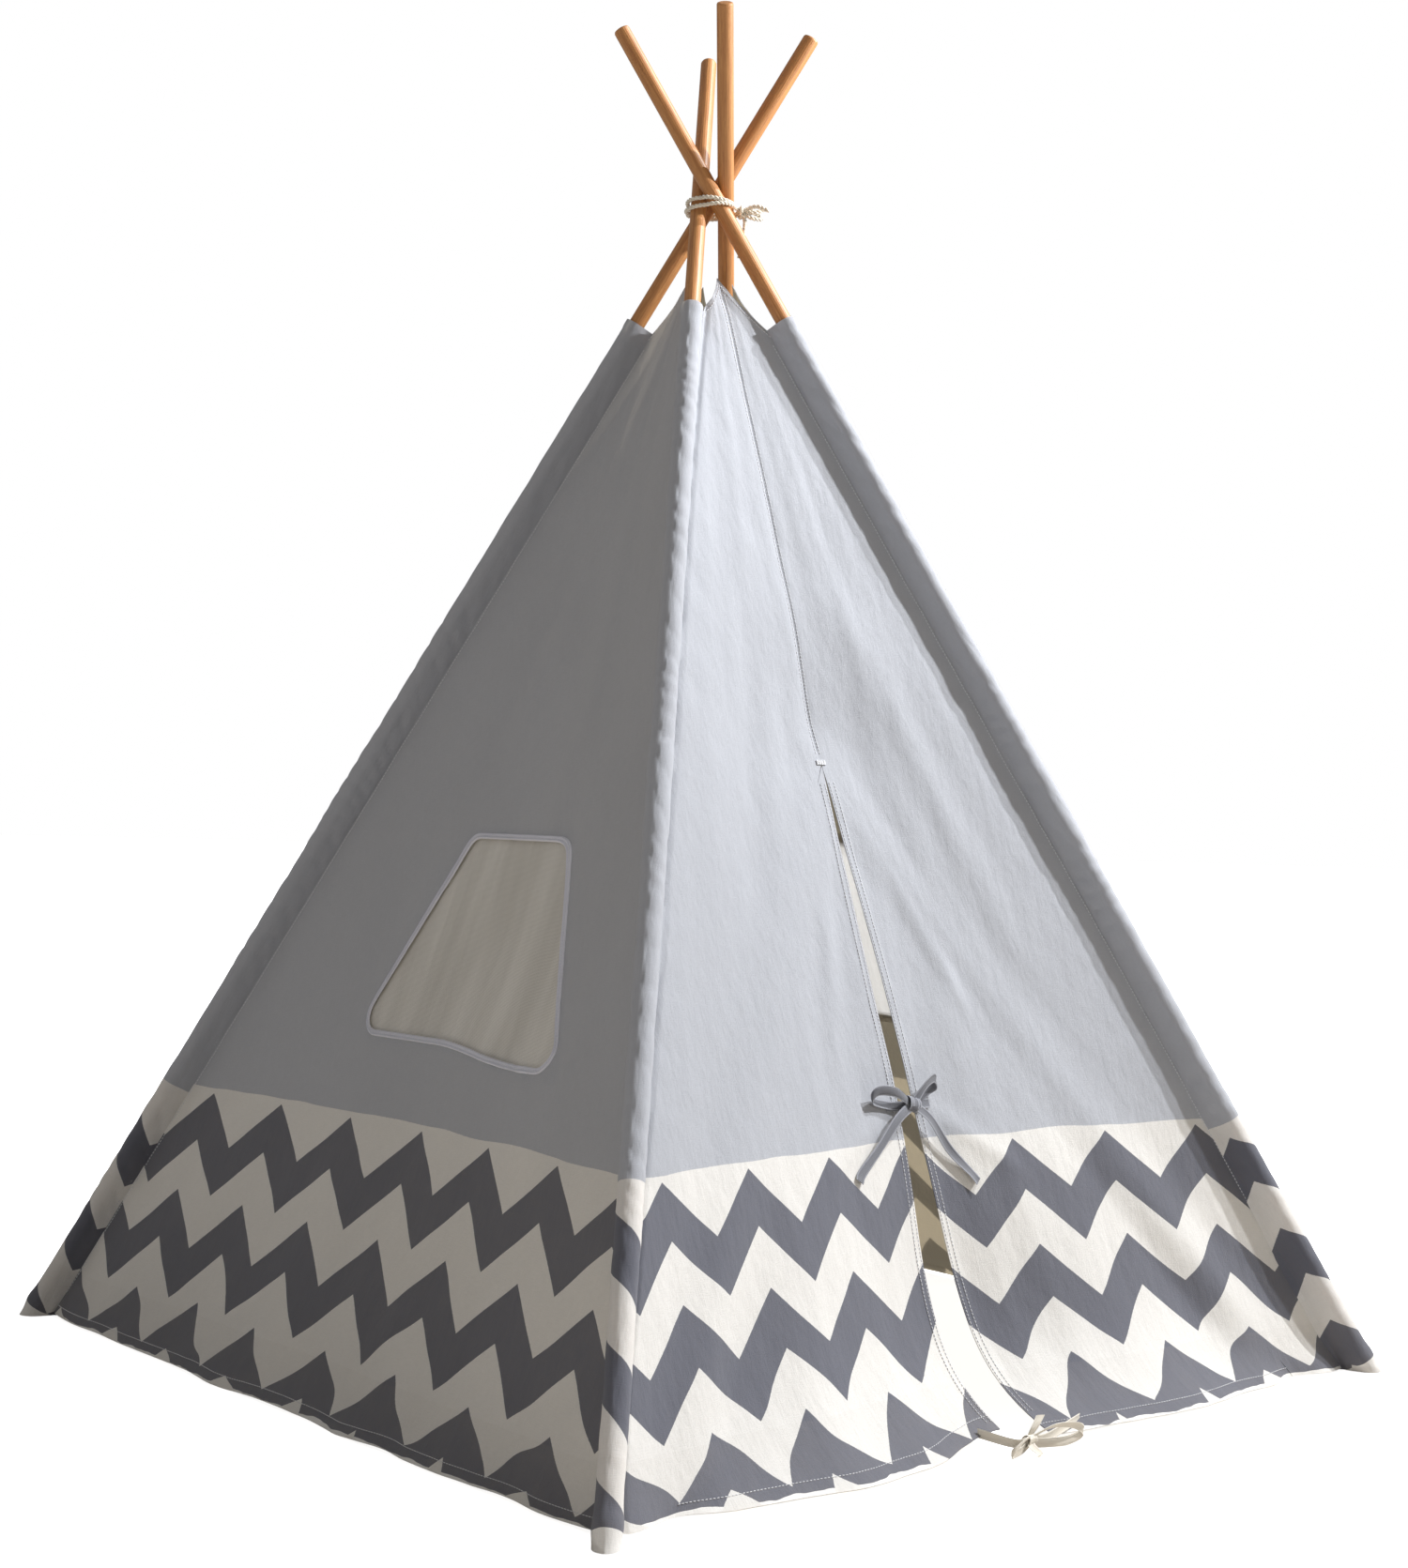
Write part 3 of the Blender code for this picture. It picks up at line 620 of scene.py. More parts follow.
def net(name):
    """Fine voile: square meshes that let about half of the view through."""
    nodes = Nodes(name)
    place, x, y = cloth_axes(nodes)
    warp, weft = (nodes.math("ABSOLUTE", nodes.wave(axis, NET_PITCH)) for axis in (x, y))
    density = nodes.noise(place, (22, 3, 1), 3.0)
    cover = nodes.linear(nodes.times(warp, weft), -0.45, nodes.linear(density, 0.36, 0.62))
    color = nodes.vary((0.88, 0.87, 0.85), density, 0.12)
    cloth = nodes.add("BsdfPrincipled", {"Base Color": color, "Roughness": 0.75, "Sheen Weight": 0.3})
    through = nodes.add("BsdfTranslucent", {"Color": color})
    cloth = nodes.add("MixShader", {0: 0.35, 1: cloth, 2: through})
    return nodes.surface(nodes.add("MixShader", {0: cover, 1: nodes.add("BsdfTransparent"), 2: cloth}))


def wood(corner):
    """Lacquered round dowel with grain along the pole."""
    nodes = Nodes(f"{corner.name}_pole_wood")
    place = nodes.object_place()
    along, deep, aside = (
        nodes.add("VectorMath", {0: place, 1: tuple(way)}, "Value", operation="DOT_PRODUCT")
        for way in (corner.up, corner.inward, corner.toward)
    )
    grain_place = nodes.add("CombineXYZ", {0: deep, 1: aside, 2: nodes.times(along, 0.045)})
    grain = nodes.noise(grain_place, 420.0, 6.0, 0.62)
    broad = nodes.noise(grain_place, 70.0, 3.0)
    pores = nodes.math("GREATER_THAN", nodes.noise(grain_place, 1500.0), 0.64)
    color = nodes.mix(nodes.linear(grain, 3.6, -1.3), (0.52, 0.235, 0.075), (0.33, 0.115, 0.030))
    color = nodes.mix(nodes.times(broad, 0.5), color, (0.58, 0.29, 0.10))
    color = nodes.mix(nodes.times(pores, 0.35), color, (0.19, 0.065, 0.018))
    inputs = {
        "Base Color": color,
        "Roughness": nodes.linear(grain, 0.18, 0.42),
        "Coat Weight": 0.12,
        "Coat Roughness": 0.35,
        "Normal": nodes.bump(grain, 0.00025),
    }
    return nodes.principled(inputs)


def metal(name):
    """Drawn steel tube with fine rings of wear."""
    nodes = Nodes(name)
    scratches = nodes.noise(nodes.object_place(), (40, 40, 900), 4.0)
    inputs = {
        "Base Color": nodes.mix(scratches, (0.50, 0.49, 0.46), (0.70, 0.69, 0.66)),
        "Metallic": 1.0,
        "Roughness": nodes.linear(scratches, 0.25, 0.22),
        "Normal": nodes.bump(scratches, 0.0001),
    }
    return nodes.principled(inputs)


def rope(name):
    """Off-white cotton cord: soft fibres with shade between the plies."""
    nodes = Nodes(name)
    place = nodes.object_place()
    fibres = nodes.noise(place, 1500.0, 5.0)
    color = nodes.mix(nodes.noise(place, 90.0), (0.80, 0.75, 0.65), (0.70, 0.63, 0.52))
    inputs = {
        "Base Color": nodes.vary(color, fibres, 0.22),
        "Roughness": nodes.linear(fibres, 0.2, 0.72),
        "Normal": nodes.bump(fibres, 0.0003),
        "Sheen Weight": 0.3,
    }
    return nodes.principled(inputs)


# Mesh building


def link(name, data, materials=()):
    """A new object in the scene. Its mesh, if it has one, takes the materials."""
    obj = bpy.data.objects.new(name, data)
    bpy.context.scene.collection.objects.link(obj)
    for material in materials:
        data.materials.append(material)
    return obj


def sheet(name, places, uv, materials):
    """An open sheet from an array of rows and columns of places. Columns run left to right, rows upwards."""
    rows, columns = places.shape[:2]
    index = np.arange(rows * columns).reshape(rows, columns)
    corners = (index[:-1, :-1], index[:-1, 1:], index[1:, 1:], index[1:, :-1])
    mesh = bpy.data.meshes.new(name)
    mesh.from_pydata(places.reshape(-1, 3), [], np.stack(corners, -1).reshape(-1, 4).tolist())
    vertex_of = np.empty(len(mesh.loops), np.int32)
    mesh.loops.foreach_get("vertex_index", vertex_of)
    layer = mesh.uv_layers.new(name="cloth")
    layer.data.foreach_set("uv", uv.reshape(-1, 2)[vertex_of].astype(np.float32).ravel())
    return link(name, mesh, materials)


def cloth_piece(name, places, uv, materials, thickness=CLOTH_THICKNESS, inner_material=1, offset=-1):
    """A closed cloth of some thickness, made from an open sheet."""
    obj = sheet(name, places, uv, materials)
    solidify = obj.modifiers.new("thickness", "SOLIDIFY")
    solidify.thickness = thickness
    solidify.offset = offset
    solidify.material_offset = inner_material
    apply(obj)
    return obj


def apply(obj):
    """Replaces the object's mesh by what its modifiers make of it."""
    graph = bpy.context.evaluated_depsgraph_get()
    mesh = bpy.data.meshes.new_from_object(
        obj.evaluated_get(graph), preserve_all_data_layers=True, depsgraph=graph
    )
    obj.modifiers.clear()
    mesh.name = obj.name
    obj.data = mesh


def smooth(obj, angle=50):
    obj.data.shade_smooth()
    obj.data.set_sharp_from_angle(angle=math.radians(angle))
    return obj


def stitches(path, normals, material_index, pitch=0.0042, length=0.0029, width=0.0007, rise=0.0004):
    """A row of small raised thread stitches along a path, as one mesh."""
    run = run_of(path)
    centres = np.arange(pitch / 2, run[-1], pitch)
    centre = along_run(centres, run, path)
    along = units(along_run(centres + 0.001, run, path) - along_run(centres - 0.001, run, path))
    out = along_run(centres, run, normals)
    aside = np.cross(out, along)
    corners = []
    for end in (-0.5, 0.5):
        for left, high in ((-0.5, -1), (0.5, -1), (0.32, 1), (-0.32, 1)):
            shorter = 0.7 if high > 0 else 1.0
            spot = centre + along * (end * length * shorter) + aside * (left * width) + out * (high * rise)
            corners.append(spot)
    faces = []
    for base in range(0, 8 * len(centres), 8):
        faces += [(base + 3, base + 2, base + 1, base), (base + 4, base + 5, base + 6, base + 7)]
        faces += [(base + a, base + (a + 1) % 4, base + 4 + (a + 1) % 4, base + 4 + a) for a in range(4)]
    mesh = bpy.data.meshes.new("stitches")
    mesh.from_pydata(np.stack(corners, 1).reshape(-1, 3), [], faces)
    mesh.polygons.foreach_set("material_index", [material_index] * len(faces))
    return mesh


def join(obj, meshes):
    """Adds loose meshes to the object's own mesh."""
    whole = bmesh.new()
    whole.from_mesh(obj.data)
    for mesh in meshes:
        whole.from_mesh(mesh)
        bpy.data.meshes.remove(mesh)
    whole.to_mesh(obj.data)
    whole.free()
    return obj


def gather(obj, wall, side, rider=None):
    """The piece rides on its side's pole, or on rider."""
    corner = wall.left if side < 0 else wall.right
    heights = np.array((0.0, 0.8))
    seam = wall.seam(side, heights)
    other = wall.seam(-side, heights)
    along = unit(seam[1] - seam[0])
    axis = unit(other[0] - seam[0])
    axis = unit(axis - along * axis.dot(along))
    middle = (seam[0] + other[0]) / 2
    far = corner.folded(middle)
    near = corner.folded(middle - axis * (middle - seam[0]).dot(axis))
    left_end = wall.left.folded(wall.seam(-1, 0.0))
    right_end = wall.right.folded(wall.seam(1, 0.0))
    across = unit(right_end - left_end)
    keep = ((left_end + right_end) / 2 - near).dot(across) / (far - near).dot(across)
    keep = float(np.clip(keep, 0.05, 1))
    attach(obj, rider or corner.body)
    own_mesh(obj)
    return obj


def stand_in(obj, slot, *nodes):
    """Hides the CAD nodes that the piece stands for. slot, the piece's finish, is not used."""
    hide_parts(*nodes)
    return obj


# Walls


def levels(low, high, rows):
    """Heights for a sheet: rows x columns, from a lower edge to an upper edge."""
    share = np.linspace(0, 1, rows)[:, None]
    return low[None, :] * (1 - share) + high[None, :] * share


def hem_fold(height, low):
    """The turned-up hem makes the cloth stand a little proud at its lower edge."""
    return 0.0007 * (1 - ease((height - low - HEM_FOLD + 0.001) / 0.002))


def edge_stitches(wall, u, height, lift=0.0004, index=THREAD_INDEX, **sizes):
    """Stitches on a wall's outer face along a line given by u and height."""
    normal = wall.normal(u, height)
    return stitches(wall.point(u, height) + normal * lift, normal, index, **sizes)


def wall_half(wall, side, materials):
    """Half a wall, from the corner seam to the middle line."""
    edge = np.linspace(0, 1, COLUMNS) * 0.5
    u = edge if side < 0 else 1 - edge[::-1]
    height = levels(wall.hem(u), wall.top(u), ROWS)
    u = np.broadcast_to(u, height.shape)
    proud = hem_fold(height, height[:1]) + hem_fold(-height, -height[-1:])
    places = wall.point(u, height) + proud[..., None] * wall.out
    return cloth_piece(f"{wall.name}_wall_{END[side]}_half", places, wall.cloth(u, height), materials)


def half_stitches(wall, side, hemmed=True):
    """Top edge, corner seam and, where the lower edge is hemmed, hem stitches of one wall half."""
    u = mirrored(side, np.linspace(0.004, 0.4995, 150))
    height = np.linspace(0.03, WALL_TOP - 0.03, 260)
    made = [edge_stitches(wall, u, wall.hem(u) + HEM_FOLD - 0.002, 0.0010)] if hemmed else []
    made.append(edge_stitches(wall, u, wall.top(u) - HEM_FOLD + 0.002, 0.0010))
    made.append(edge_stitches(wall, mirrored(side, 0.0035 / wall.width(height)), height, 0.0003))
    return made


# Windows


def window_half_outline(grow, side, steps=9):
    """Half of the window's rounded outline, from the bottom middle round to the top middle."""
    sizes = (WINDOW_TOP, WINDOW_BOTTOM, WINDOW_HEIGHT)
    half_top, half_bottom, half_height = (size / 2 + grow for size in sizes)
    radius = WINDOW_CORNER + grow
    lean = math.atan2(half_bottom - half_top, 2 * half_height)
    places = [np.array((0.0, -half_height))]
    for x, y, start, end in (
        (half_bottom, -half_height, -math.pi / 2, lean),
        (half_top, half_height, lean, math.pi / 2),
    ):
        centre = np.array((x - radius * math.tan((end - start) / 2), y - math.copysign(radius, y)))
        angles = np.linspace(start, end, steps)
        turn = [centre + radius * np.array((math.cos(a), math.sin(a))) for a in angles]
        places += straight(places[-1], turn[0]) + turn
    places += straight(places[-1], np.array((0.0, half_height))) + [np.array((0.0, half_height))]
    return np.array(places) * (side, 1)


def straight(start, end, step=0.006):
    count = max(2, round(np.linalg.norm(end - start) / step))
    return [start + (end - start) * i / count for i in range(1, count)]


def window_place(wall, places):
    """u and height for flat window places. The lower corner on the front side droops a little."""
    x, y = places[..., 0], places[..., 1]
    front = 1 if wall.name == "left" else -1
    x = x * (1 + WINDOW_LEAN * front * np.sign(x))
    droop = WINDOW_DROOP * ease((x * front + 0.02) / 0.17) * ease((0.04 - y) / 0.14)
    slope = wall.left.up[2] / math.hypot(wall.left.up[2], abs(wall.left.up[1]))
    height = WINDOW_CENTRE + (y - droop) * slope
    return 0.5 + x / wall.width(height), height


def cut_window(obj, wall):
    """Cuts the window's opening out of a wall half."""
    left, right = window_half_outline(0.001, -1), window_half_outline(0.001, 1)
    outline = np.concatenate([right[:-1], left[::-1][:-1]])
    flat = wall.flat(*window_place(wall, outline))
    block = bmesh.new()
    rings = [[block.verts.new(p + wall.out * reach) for p in flat] for reach in (-0.09, 0.05)]
    block.faces.new(rings[0][::-1])
    block.faces.new(rings[1])
    for i in range(len(flat)):
        block.faces.new((rings[0][i - 1], rings[0][i], rings[1][i], rings[1][i - 1]))
    bmesh.ops.recalc_face_normals(block, faces=block.faces)
    mesh = bpy.data.meshes.new("window_cutter")
    block.to_mesh(mesh)
    block.free()
    cutter = link("window_cutter", mesh)
    modifier = obj.modifiers.new("window", "BOOLEAN")
    modifier.operation = "DIFFERENCE"
    modifier.object = cutter
    apply(obj)
    bpy.data.objects.remove(cutter, do_unlink=True)
    bpy.data.meshes.remove(mesh)


def window_binding(wall, side, materials):
    """The doubled piping round half a window."""
    profile = [(0.0, -0.0004), (0.04, 0.0010), (0.2, 0.0020), (0.4, 0.0012), (0.5, 0.0005)]
    profile += [(1 - s, h) for s, h in profile[-2::-1]]
    share, lift = np.array(profile).T[:, :, None]
    rings = [window_half_outline(s * BINDING_WIDTH, side) for s, _ in profile]
    count = min(len(r) for r in rings)
    rings = np.stack([resampled(r, count) for r in rings])
    u, height = window_place(wall, rings)
    lift = lift + 0.0003 * ripple(wall.seed + 9, rings[..., 0] * 90, rings[..., 1] * 90)
    places = wall.point(u, height) + wall.normal(u, height) * (lift + 0.0004)[..., None]
    uv = np.stack(np.broadcast_arrays(2 * share - 1, np.linspace(0, 0.5, count)[None, :]), -1)
    if side > 0:
        places, uv = places[::-1], uv[::-1]
    obj = cloth_piece(f"{wall.name}_window_piping_{END[side]}", places, uv, materials, TAPE_THICKNESS, 0)
    u, height = window_place(wall, window_half_outline(BINDING_WIDTH * 0.5, side))
    join(obj, [edge_stitches(wall, u, height, 0.0011, 1, pitch=0.0036, length=0.0024)])
    return smooth(obj)


def window_net(wall, side, material):
    """Half of the net behind a window, with soft upright folds."""
    column = np.linspace(0, 1, 44)
    column = column if side > 0 else -column[::-1]
    row = np.linspace(-1, 1, 52)[:, None]
    half_top = WINDOW_TOP / 2 + NET_LAP
    half_bottom = WINDOW_BOTTOM / 2 + NET_LAP
    x = column * (half_bottom + (half_top - half_bottom) * (row + 1) / 2)
    y = row * (WINDOW_HEIGHT / 2 + NET_LAP) + 0 * x
    flat = np.stack([x, y], -1)
    u, height = window_place(wall, flat)
    inside = (1 - np.abs(column)) * (1 - np.abs(row))
    folds = 0.0050 * ripple(wall.seed + 11, 26 * x, 2.5 * y) + 0.0020 * ripple(wall.seed + 12, 70 * x, 4 * y)
    back = 0.0022 + 0.006 * inside**0.5 - folds * np.minimum(1, 4 * inside)
    places = wall.point(u, height) - np.maximum(back, 0.0016)[..., None] * wall.out
    name = f"{wall.name}_window_net_{END[side]}"
    return smooth(cloth_piece(name, places, flat, [material], NET_THICKNESS, 0))


# Door


def door_panel(side, materials):
    """The fixed cloth beside the slit: to the flap's hinge line, and above it to the middle line."""
    wall = WALLS["front"]
    share = np.linspace(0, 1, COLUMNS)
    start = 0 if side < 0 else 1
    low = HEM_HEIGHT + 0.001
    top = wall.top(start + (0.5 - start) * share)
    height = low + (top[None, :] - low) * np.linspace(0, 1, ROWS)[:, None]
    below = np.minimum(height, wall.slit_top)
    edge = np.where(height < wall.slit_top, wall.hinge_u(side, below), 0.5)
    u = start + (edge - start) * share
    if side > 0:
        u, height = u[:, ::-1], height[:, ::-1]
    proud = hem_fold(height, low) + hem_fold(-height, -wall.top(u))
    places = wall.point(u, height) + proud[..., None] * wall.out
    obj = cloth_piece(f"door_wall_{END[side]}", places, wall.cloth(u, height), materials)
    height = np.linspace(wall.slit_top + 0.012, wall.top(0.5) - 0.01, 160)
    centre_seam = edge_stitches(wall, 0.5 + side * 0.003 / wall.width(height), height, 0.0003)
    return smooth(join(obj, [*half_stitches(wall, side, hemmed=False), centre_seam]))


def corner_lift(side, share):
    """How far a flap's lower edge rises towards the slit. The left flap's corner is lifted by its tape."""
    return 0.013 * ease((share - 0.55) / 0.45) ** 2 if side < 0 else 0.002 * share


def door_flap(side, materials):
    """The loose triangle between the hinge line and the slit, with a turned and sewn edge."""
    wall = WALLS["front"]
    share = np.linspace(0, 1, COLUMNS)[None, :]
    low = HEM_HEIGHT + 0.001 + corner_lift(side, share)
    height = low + (wall.slit_top - 0.002 - low) * np.linspace(0, 1, 90)[:, None]
    hinge = wall.hinge_u(side, height)
    u = hinge + (wall.slit_u(side, height) - hinge) * share
    if side > 0:
        u, height, low = u[:, ::-1], height[:, ::-1], low[:, ::-1]
    to_slit = np.abs(u - wall.slit_u(side, height)) * wall.width(height)
    calm = ease(np.abs(u - wall.hinge_u(side, height)) * wall.width(height) / 0.03)
    turned = np.maximum(hem_fold(to_slit, 0), hem_fold(height, low) * calm)
    places = wall.point(u, height) + turned[..., None] * wall.out
    obj = cloth_piece(f"door_flap_{END[side]}_cloth", places, wall.cloth(u, height), materials)
    height = np.linspace(0.02, wall.slit_top - 0.02, 200)
    extra = []
    for aside in (0.0025, 0.0095):
        u = wall.slit_u(side, height) + side * aside / wall.width(height)
        extra.append(edge_stitches(wall, u, height, 0.0011))
    share = np.linspace(0, 1, 120)
    ends = wall.hinge_u(side, 0.012), wall.slit_u(side, 0.012)
    u = ends[0] + (ends[1] - ends[0]) * share
    rise = corner_lift(side, share) if side < 0 else 0 * share
    extra.append(edge_stitches(wall, u, HEM_HEIGHT + HEM_FOLD - 0.001 + rise, 0.0009))
    return smooth(join(obj, extra))


def bar_tack(material):
    """The dense white stitching that stops the slit from tearing further."""
    wall = WALLS["front"]
    rows = []
    for i in range(-2, 3):
        level = np.full(2, wall.slit_top + 0.003 + i * 0.0011)
        u = 0.5 + np.array((-0.007, 0.007)) / wall.width(level)
        rows.append(edge_stitches(wall, u, level, 0.0012, 0, pitch=0.0035, length=0.0034, width=0.0010))
    return join(link("slit_bar_tack", bpy.data.meshes.new("slit_bar_tack"), [material]), rows)


# Sleeves


def sleeve_section(count=46):
    """Half widths and depths of the cloth round a pole, from one seam edge round the pole to the other."""
    tail = SEAM_DEPTH + SEAM_ALLOWANCE
    lean = math.asin(SLEEVE_RADIUS / SEAM_DEPTH)
    side = [np.array((tail, 0.0007)), np.array((SEAM_DEPTH + 0.001, 0.0007))]
    touch = SLEEVE_RADIUS * np.array((math.sin(lean), math.cos(lean)))
    side += [side[-1] + (touch - side[-1]) * i / 12 for i in range(1, 12)]
    turn = np.linspace(math.pi / 2 - lean, math.pi, 13)
    side += [SLEEVE_RADIUS * np.array((math.cos(a), math.sin(a))) for a in turn]
    half = resampled(np.array(side), count)
    return np.concatenate([half, half[-2::-1] * (1, -1)])


def sleeve_bulge(corner, seed, section, around, along):
    """How far the sleeve's cloth stands out: puckers, the ferrule under it, and the cuffs at both ends."""
    depth = section[None, :, 0]
    flat = ease((depth - 0.002) / 0.012) * ease((SEAM_DEPTH + 0.001 - depth) / 0.010)
    held = ease((SEAM_DEPTH + 0.002 - depth) / 0.006)
    lean = along + 0.9 * np.sign(section[None, :, 1]) * depth
    waves = ripple(seed, 30 * lean, 40 * around) + 0.5 * ripple(seed + 1, 60 * lean, 60 * around)
    phase = lean / PUCKER_PITCH + 2.4 * ripple(seed + 2, 7 * along, 8 * around)
    strength = 0.10 + 1.2 * ease(1.6 * ripple(seed + 3, 4.5 * along, 2 * around) + 0.5)
    waves = waves + strength * (1.5 * np.abs(np.sin(np.pi * phase)) ** 0.55 - 0.9)
    bulge = PUCKER * (0.38 + 0.62 * flat) * held * (waves + 0.25)
    low, high = (place.z / corner.up[2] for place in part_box(f"{corner.name}_ferrule"))
    from_ferrule = np.abs(along - (low + high) / 2) - (high - low) / 2
    bulge = bulge + 0.0008 * held * (1 - ease(from_ferrule / 0.006))
    bulge = np.maximum(bulge, -0.0010 - 0.001 * flat)
    return bulge + hem_fold(corner.sleeve_top - along, 0) + 0.0022 * bell(along, 0.012, 0.020) * held


def sleeve(corner, seed, materials):
    """The cloth sleeve: flat inwards, round over the pole, puckered, with a closed foot and a hemmed top."""
    section = sleeve_section()
    around = run_of(section)
    around = (around - around[-1] / 2)[None, :]
    outward = np.gradient(section, axis=0)
    outward = units(np.stack([-outward[:, 1], outward[:, 0]], -1))
    outward = outward * np.sign((outward * (section - (0.012, 0))).sum(1, keepdims=True) + 1e-9)
    up = np.linspace(0, 1, SLEEVE_ROWS)[:, None]
    floor = (FLOOR_GAP - section[:, 0] * corner.inward[2]) / corner.up[2]
    along = floor[None, :] * (1 - up) + corner.sleeve_top * up
    bulge = sleeve_bulge(corner, seed, section, around, along)
    spread = section[None] + bulge[..., None] * outward[None]
    places = corner.foot + along[..., None] * corner.up
    places = places + spread[..., :1] * corner.inward + spread[..., 1:] * corner.toward
    places[..., 2] = np.maximum(places[..., 2], FLOOR_GAP)
    centre = corner.foot + corner.inward * 0.006 + corner.up * 0.002
    centre[2] = FLOOR_GAP
    cap = np.stack([centre + (places[0] - centre) * s for s in (0.03, 0.5, 0.85)])
    places = np.concatenate([cap, places])
    level = BAND_TOP + (along * corner.up[2] - BAND_TOP) * corner.up[2] ** -0.5
    uv = np.stack(np.broadcast_arrays(around, level), -1)
    uv = np.concatenate([np.repeat(uv[:1], 3, axis=0), uv])
    if np.cross(corner.up, corner.toward).dot(corner.inward) > 0:
        places, uv = places[:, ::-1], uv[:, ::-1]
    obj = cloth_piece(f"{corner.name}_sleeve_cloth", places, uv, materials, SLEEVE_THICKNESS)
    return smooth(join(obj, [sleeve_stitches(corner, side) for side in (-1, 1)]))


def sleeve_stitches(corner, side):
    """The corner seam on one face of the sleeve."""
    height = np.linspace(0.03, WALL_TOP - 0.02, 260)
    path = corner.line(height, SEAM_DEPTH - 0.003, 0) + corner.toward * (side * 0.0022)
    return stitches(path, np.broadcast_to(corner.toward * side, path.shape), THREAD_INDEX)


# Cord and tapes


def curve_path(points, count):
    """A smooth path through a few places (Catmull-Rom)."""
    points = np.asarray(points, float)
    padded = np.concatenate([[2 * points[0] - points[1]], points, [2 * points[-1] - points[-2]]])
    spans = len(points) - 1
    made = []
    for t in np.linspace(0, spans, count):
        i = min(int(t), spans - 1)
        s = t - i
        a, b, c, d = padded[i : i + 4]
        bend = (2 * a - 5 * b + 4 * c - d) * s**2 + (3 * b - a - 3 * c + d) * s**3
        made.append(0.5 * (2 * b + (c - a) * s + bend))
    return np.array(made)


def cord(name, paths, radius, material):
    """Two-ply twisted cord along each path, as one mesh."""
    curve = bpy.data.curves.new(name, "CURVE")
    curve.dimensions = "3D"
    curve.bevel_depth = radius * 0.62
    curve.bevel_resolution = 2
    curve.use_fill_caps = True
    for path in paths:
        length = run_of(path)[-1]
        path = resampled(path, max(8, int(length / CORD_LAY * 9)))
        along = units(np.gradient(path, axis=0))
        first = units(np.cross(along, (0.13, 0.21, 0.97)))
        second = np.cross(along, first)
        angle = np.linspace(0, length / CORD_LAY * 2 * math.pi, len(path))[:, None]
        for ply in (0, math.pi):
            places = path + radius * 0.48 * (first * np.cos(angle + ply) + second * np.sin(angle + ply))
            spline = curve.splines.new("POLY")
            spline.points.add(len(places) - 1)
            spline.points.foreach_set("co", np.c_[places, np.ones(len(places))].ravel())
    source = link(name, curve)
    graph = bpy.context.evaluated_depsgraph_get()
    mesh = bpy.data.meshes.new_from_object(source.evaluated_get(graph))
    bpy.data.objects.remove(source, do_unlink=True)
    bpy.data.curves.remove(curve)
    mesh.shade_smooth()
    return link(name, mesh, [material])


def wound_cord(azimuth):
    """The path of the close turns round the four poles, starting and ending at the knot's side."""
    middle = np.mean([c.lashing[2] for c in CORNERS.values()]) - CORD_BELOW_CROSSING + 0.004
    path = []
    for t in np.linspace(0, 1, 260):
        turn = 2 * math.pi * CORD_TURNS * t
        drift = 0.004 * math.sin(turn * 1.31 + 0.6) + 0.002 * math.sin(9.0 * t)
        height = middle + (t - 0.5) * 0.009 + drift
        way = np.array((math.cos(azimuth + turn), math.sin(azimuth + turn), 0))
        poles = [c.lashing + c.up * (height - c.lashing[2]) / c.up[2] for c in CORNERS.values()]
        reach = max(pole.dot(way) for pole in poles) + POLE_RADIUS * 1.22 + CORD_RADIUS
        path.append(way * reach * (1 + 0.03 * math.sin(40 * t)) + (0, 0, height))
    return np.array(path)


def lashing(material):
    """The cord: a few close turns round the crossing, a small bow to one side and a hanging tail."""
    azimuth = math.radians(-41)
    wound = wound_cord(azimuth)
    out = np.array((math.cos(azimuth), math.sin(azimuth), 0))
    axes = np.array((out, (-out[1], out[0], 0), (0, 0, 1)))
    knot = wound[0] + out * 0.004

    def through(count, *shares):
        """A path through places given as metres outwards, aside and up from the knot."""
        return curve_path([knot + np.array(share) @ axes for share in shares], count)

    start = axes @ (wound[-1] - knot)
    tail = ((0.003, 0, -0.004), (0.005, -0.003, -0.016), (0.003, -0.009, -0.036), (-0.001, -0.017, -0.060))
    paths = [wound, through(60, start, *tail)]
    for reach, rise, spread in ((0.030, 0.007, 0.005), (0.026, -0.006, 0.004)):
        going = (reach * 0.5, 0.003, rise * 0.4 + spread)
        coming = (reach * 0.55, -0.002, rise * 0.6 - spread)
        paths.append(through(70, (0, 0, 0), going, (reach, 0.006, rise), coming, (-0.001, 0, 0)))
    paths.append(through(30, (0, 0, 0), (0.018, -0.006, 0.006), (0.034, -0.010, 0)))
    turn = np.linspace(0, 2 * math.pi * 1.6, 60)
    band = np.stack([np.linspace(-0.003, 0.004, 60), 0.0062 * np.sin(turn), 0.0062 * np.cos(turn)], -1)
    paths.append(knot + band @ axes)
    return cord("lashing_rope", paths, CORD_RADIUS, material)


def ribbon(name, path, across, width, material):
    """A flat tape along a path. across gives its width direction at each of the path's places."""
    across = units(across)
    out = units(np.cross(np.gradient(path, axis=0), across))
    spread = np.array((-1, -0.86, -0.7, -0.35, 0, 0.35, 0.7, 0.86, 1))
    lift = 0.0006 * np.array((0.6, 1.3, 0.5, 0.1, 0, 0.1, 0.5, 1.3, 0.6))
    places = path[None] + spread[:, None, None] * across[None] * width / 2 + lift[:, None, None] * out[None]
    uv = np.stack(np.broadcast_arrays(spread[:, None], run_of(path)[None, :]), -1)
    return smooth(cloth_piece(name, places, uv, [material], TAPE_THICKNESS, 0, 0), 60)


def wound_tape(name, middle, angles, first, second, across, width, material):
    """Tape wound round a bow's middle, through these angles from the first direction to the second."""
    turn = angles[:, None]
    path = middle + first * np.cos(turn) + second * np.sin(turn)
    return ribbon(name, path, np.tile(across, (len(turn), 1)), width, material)


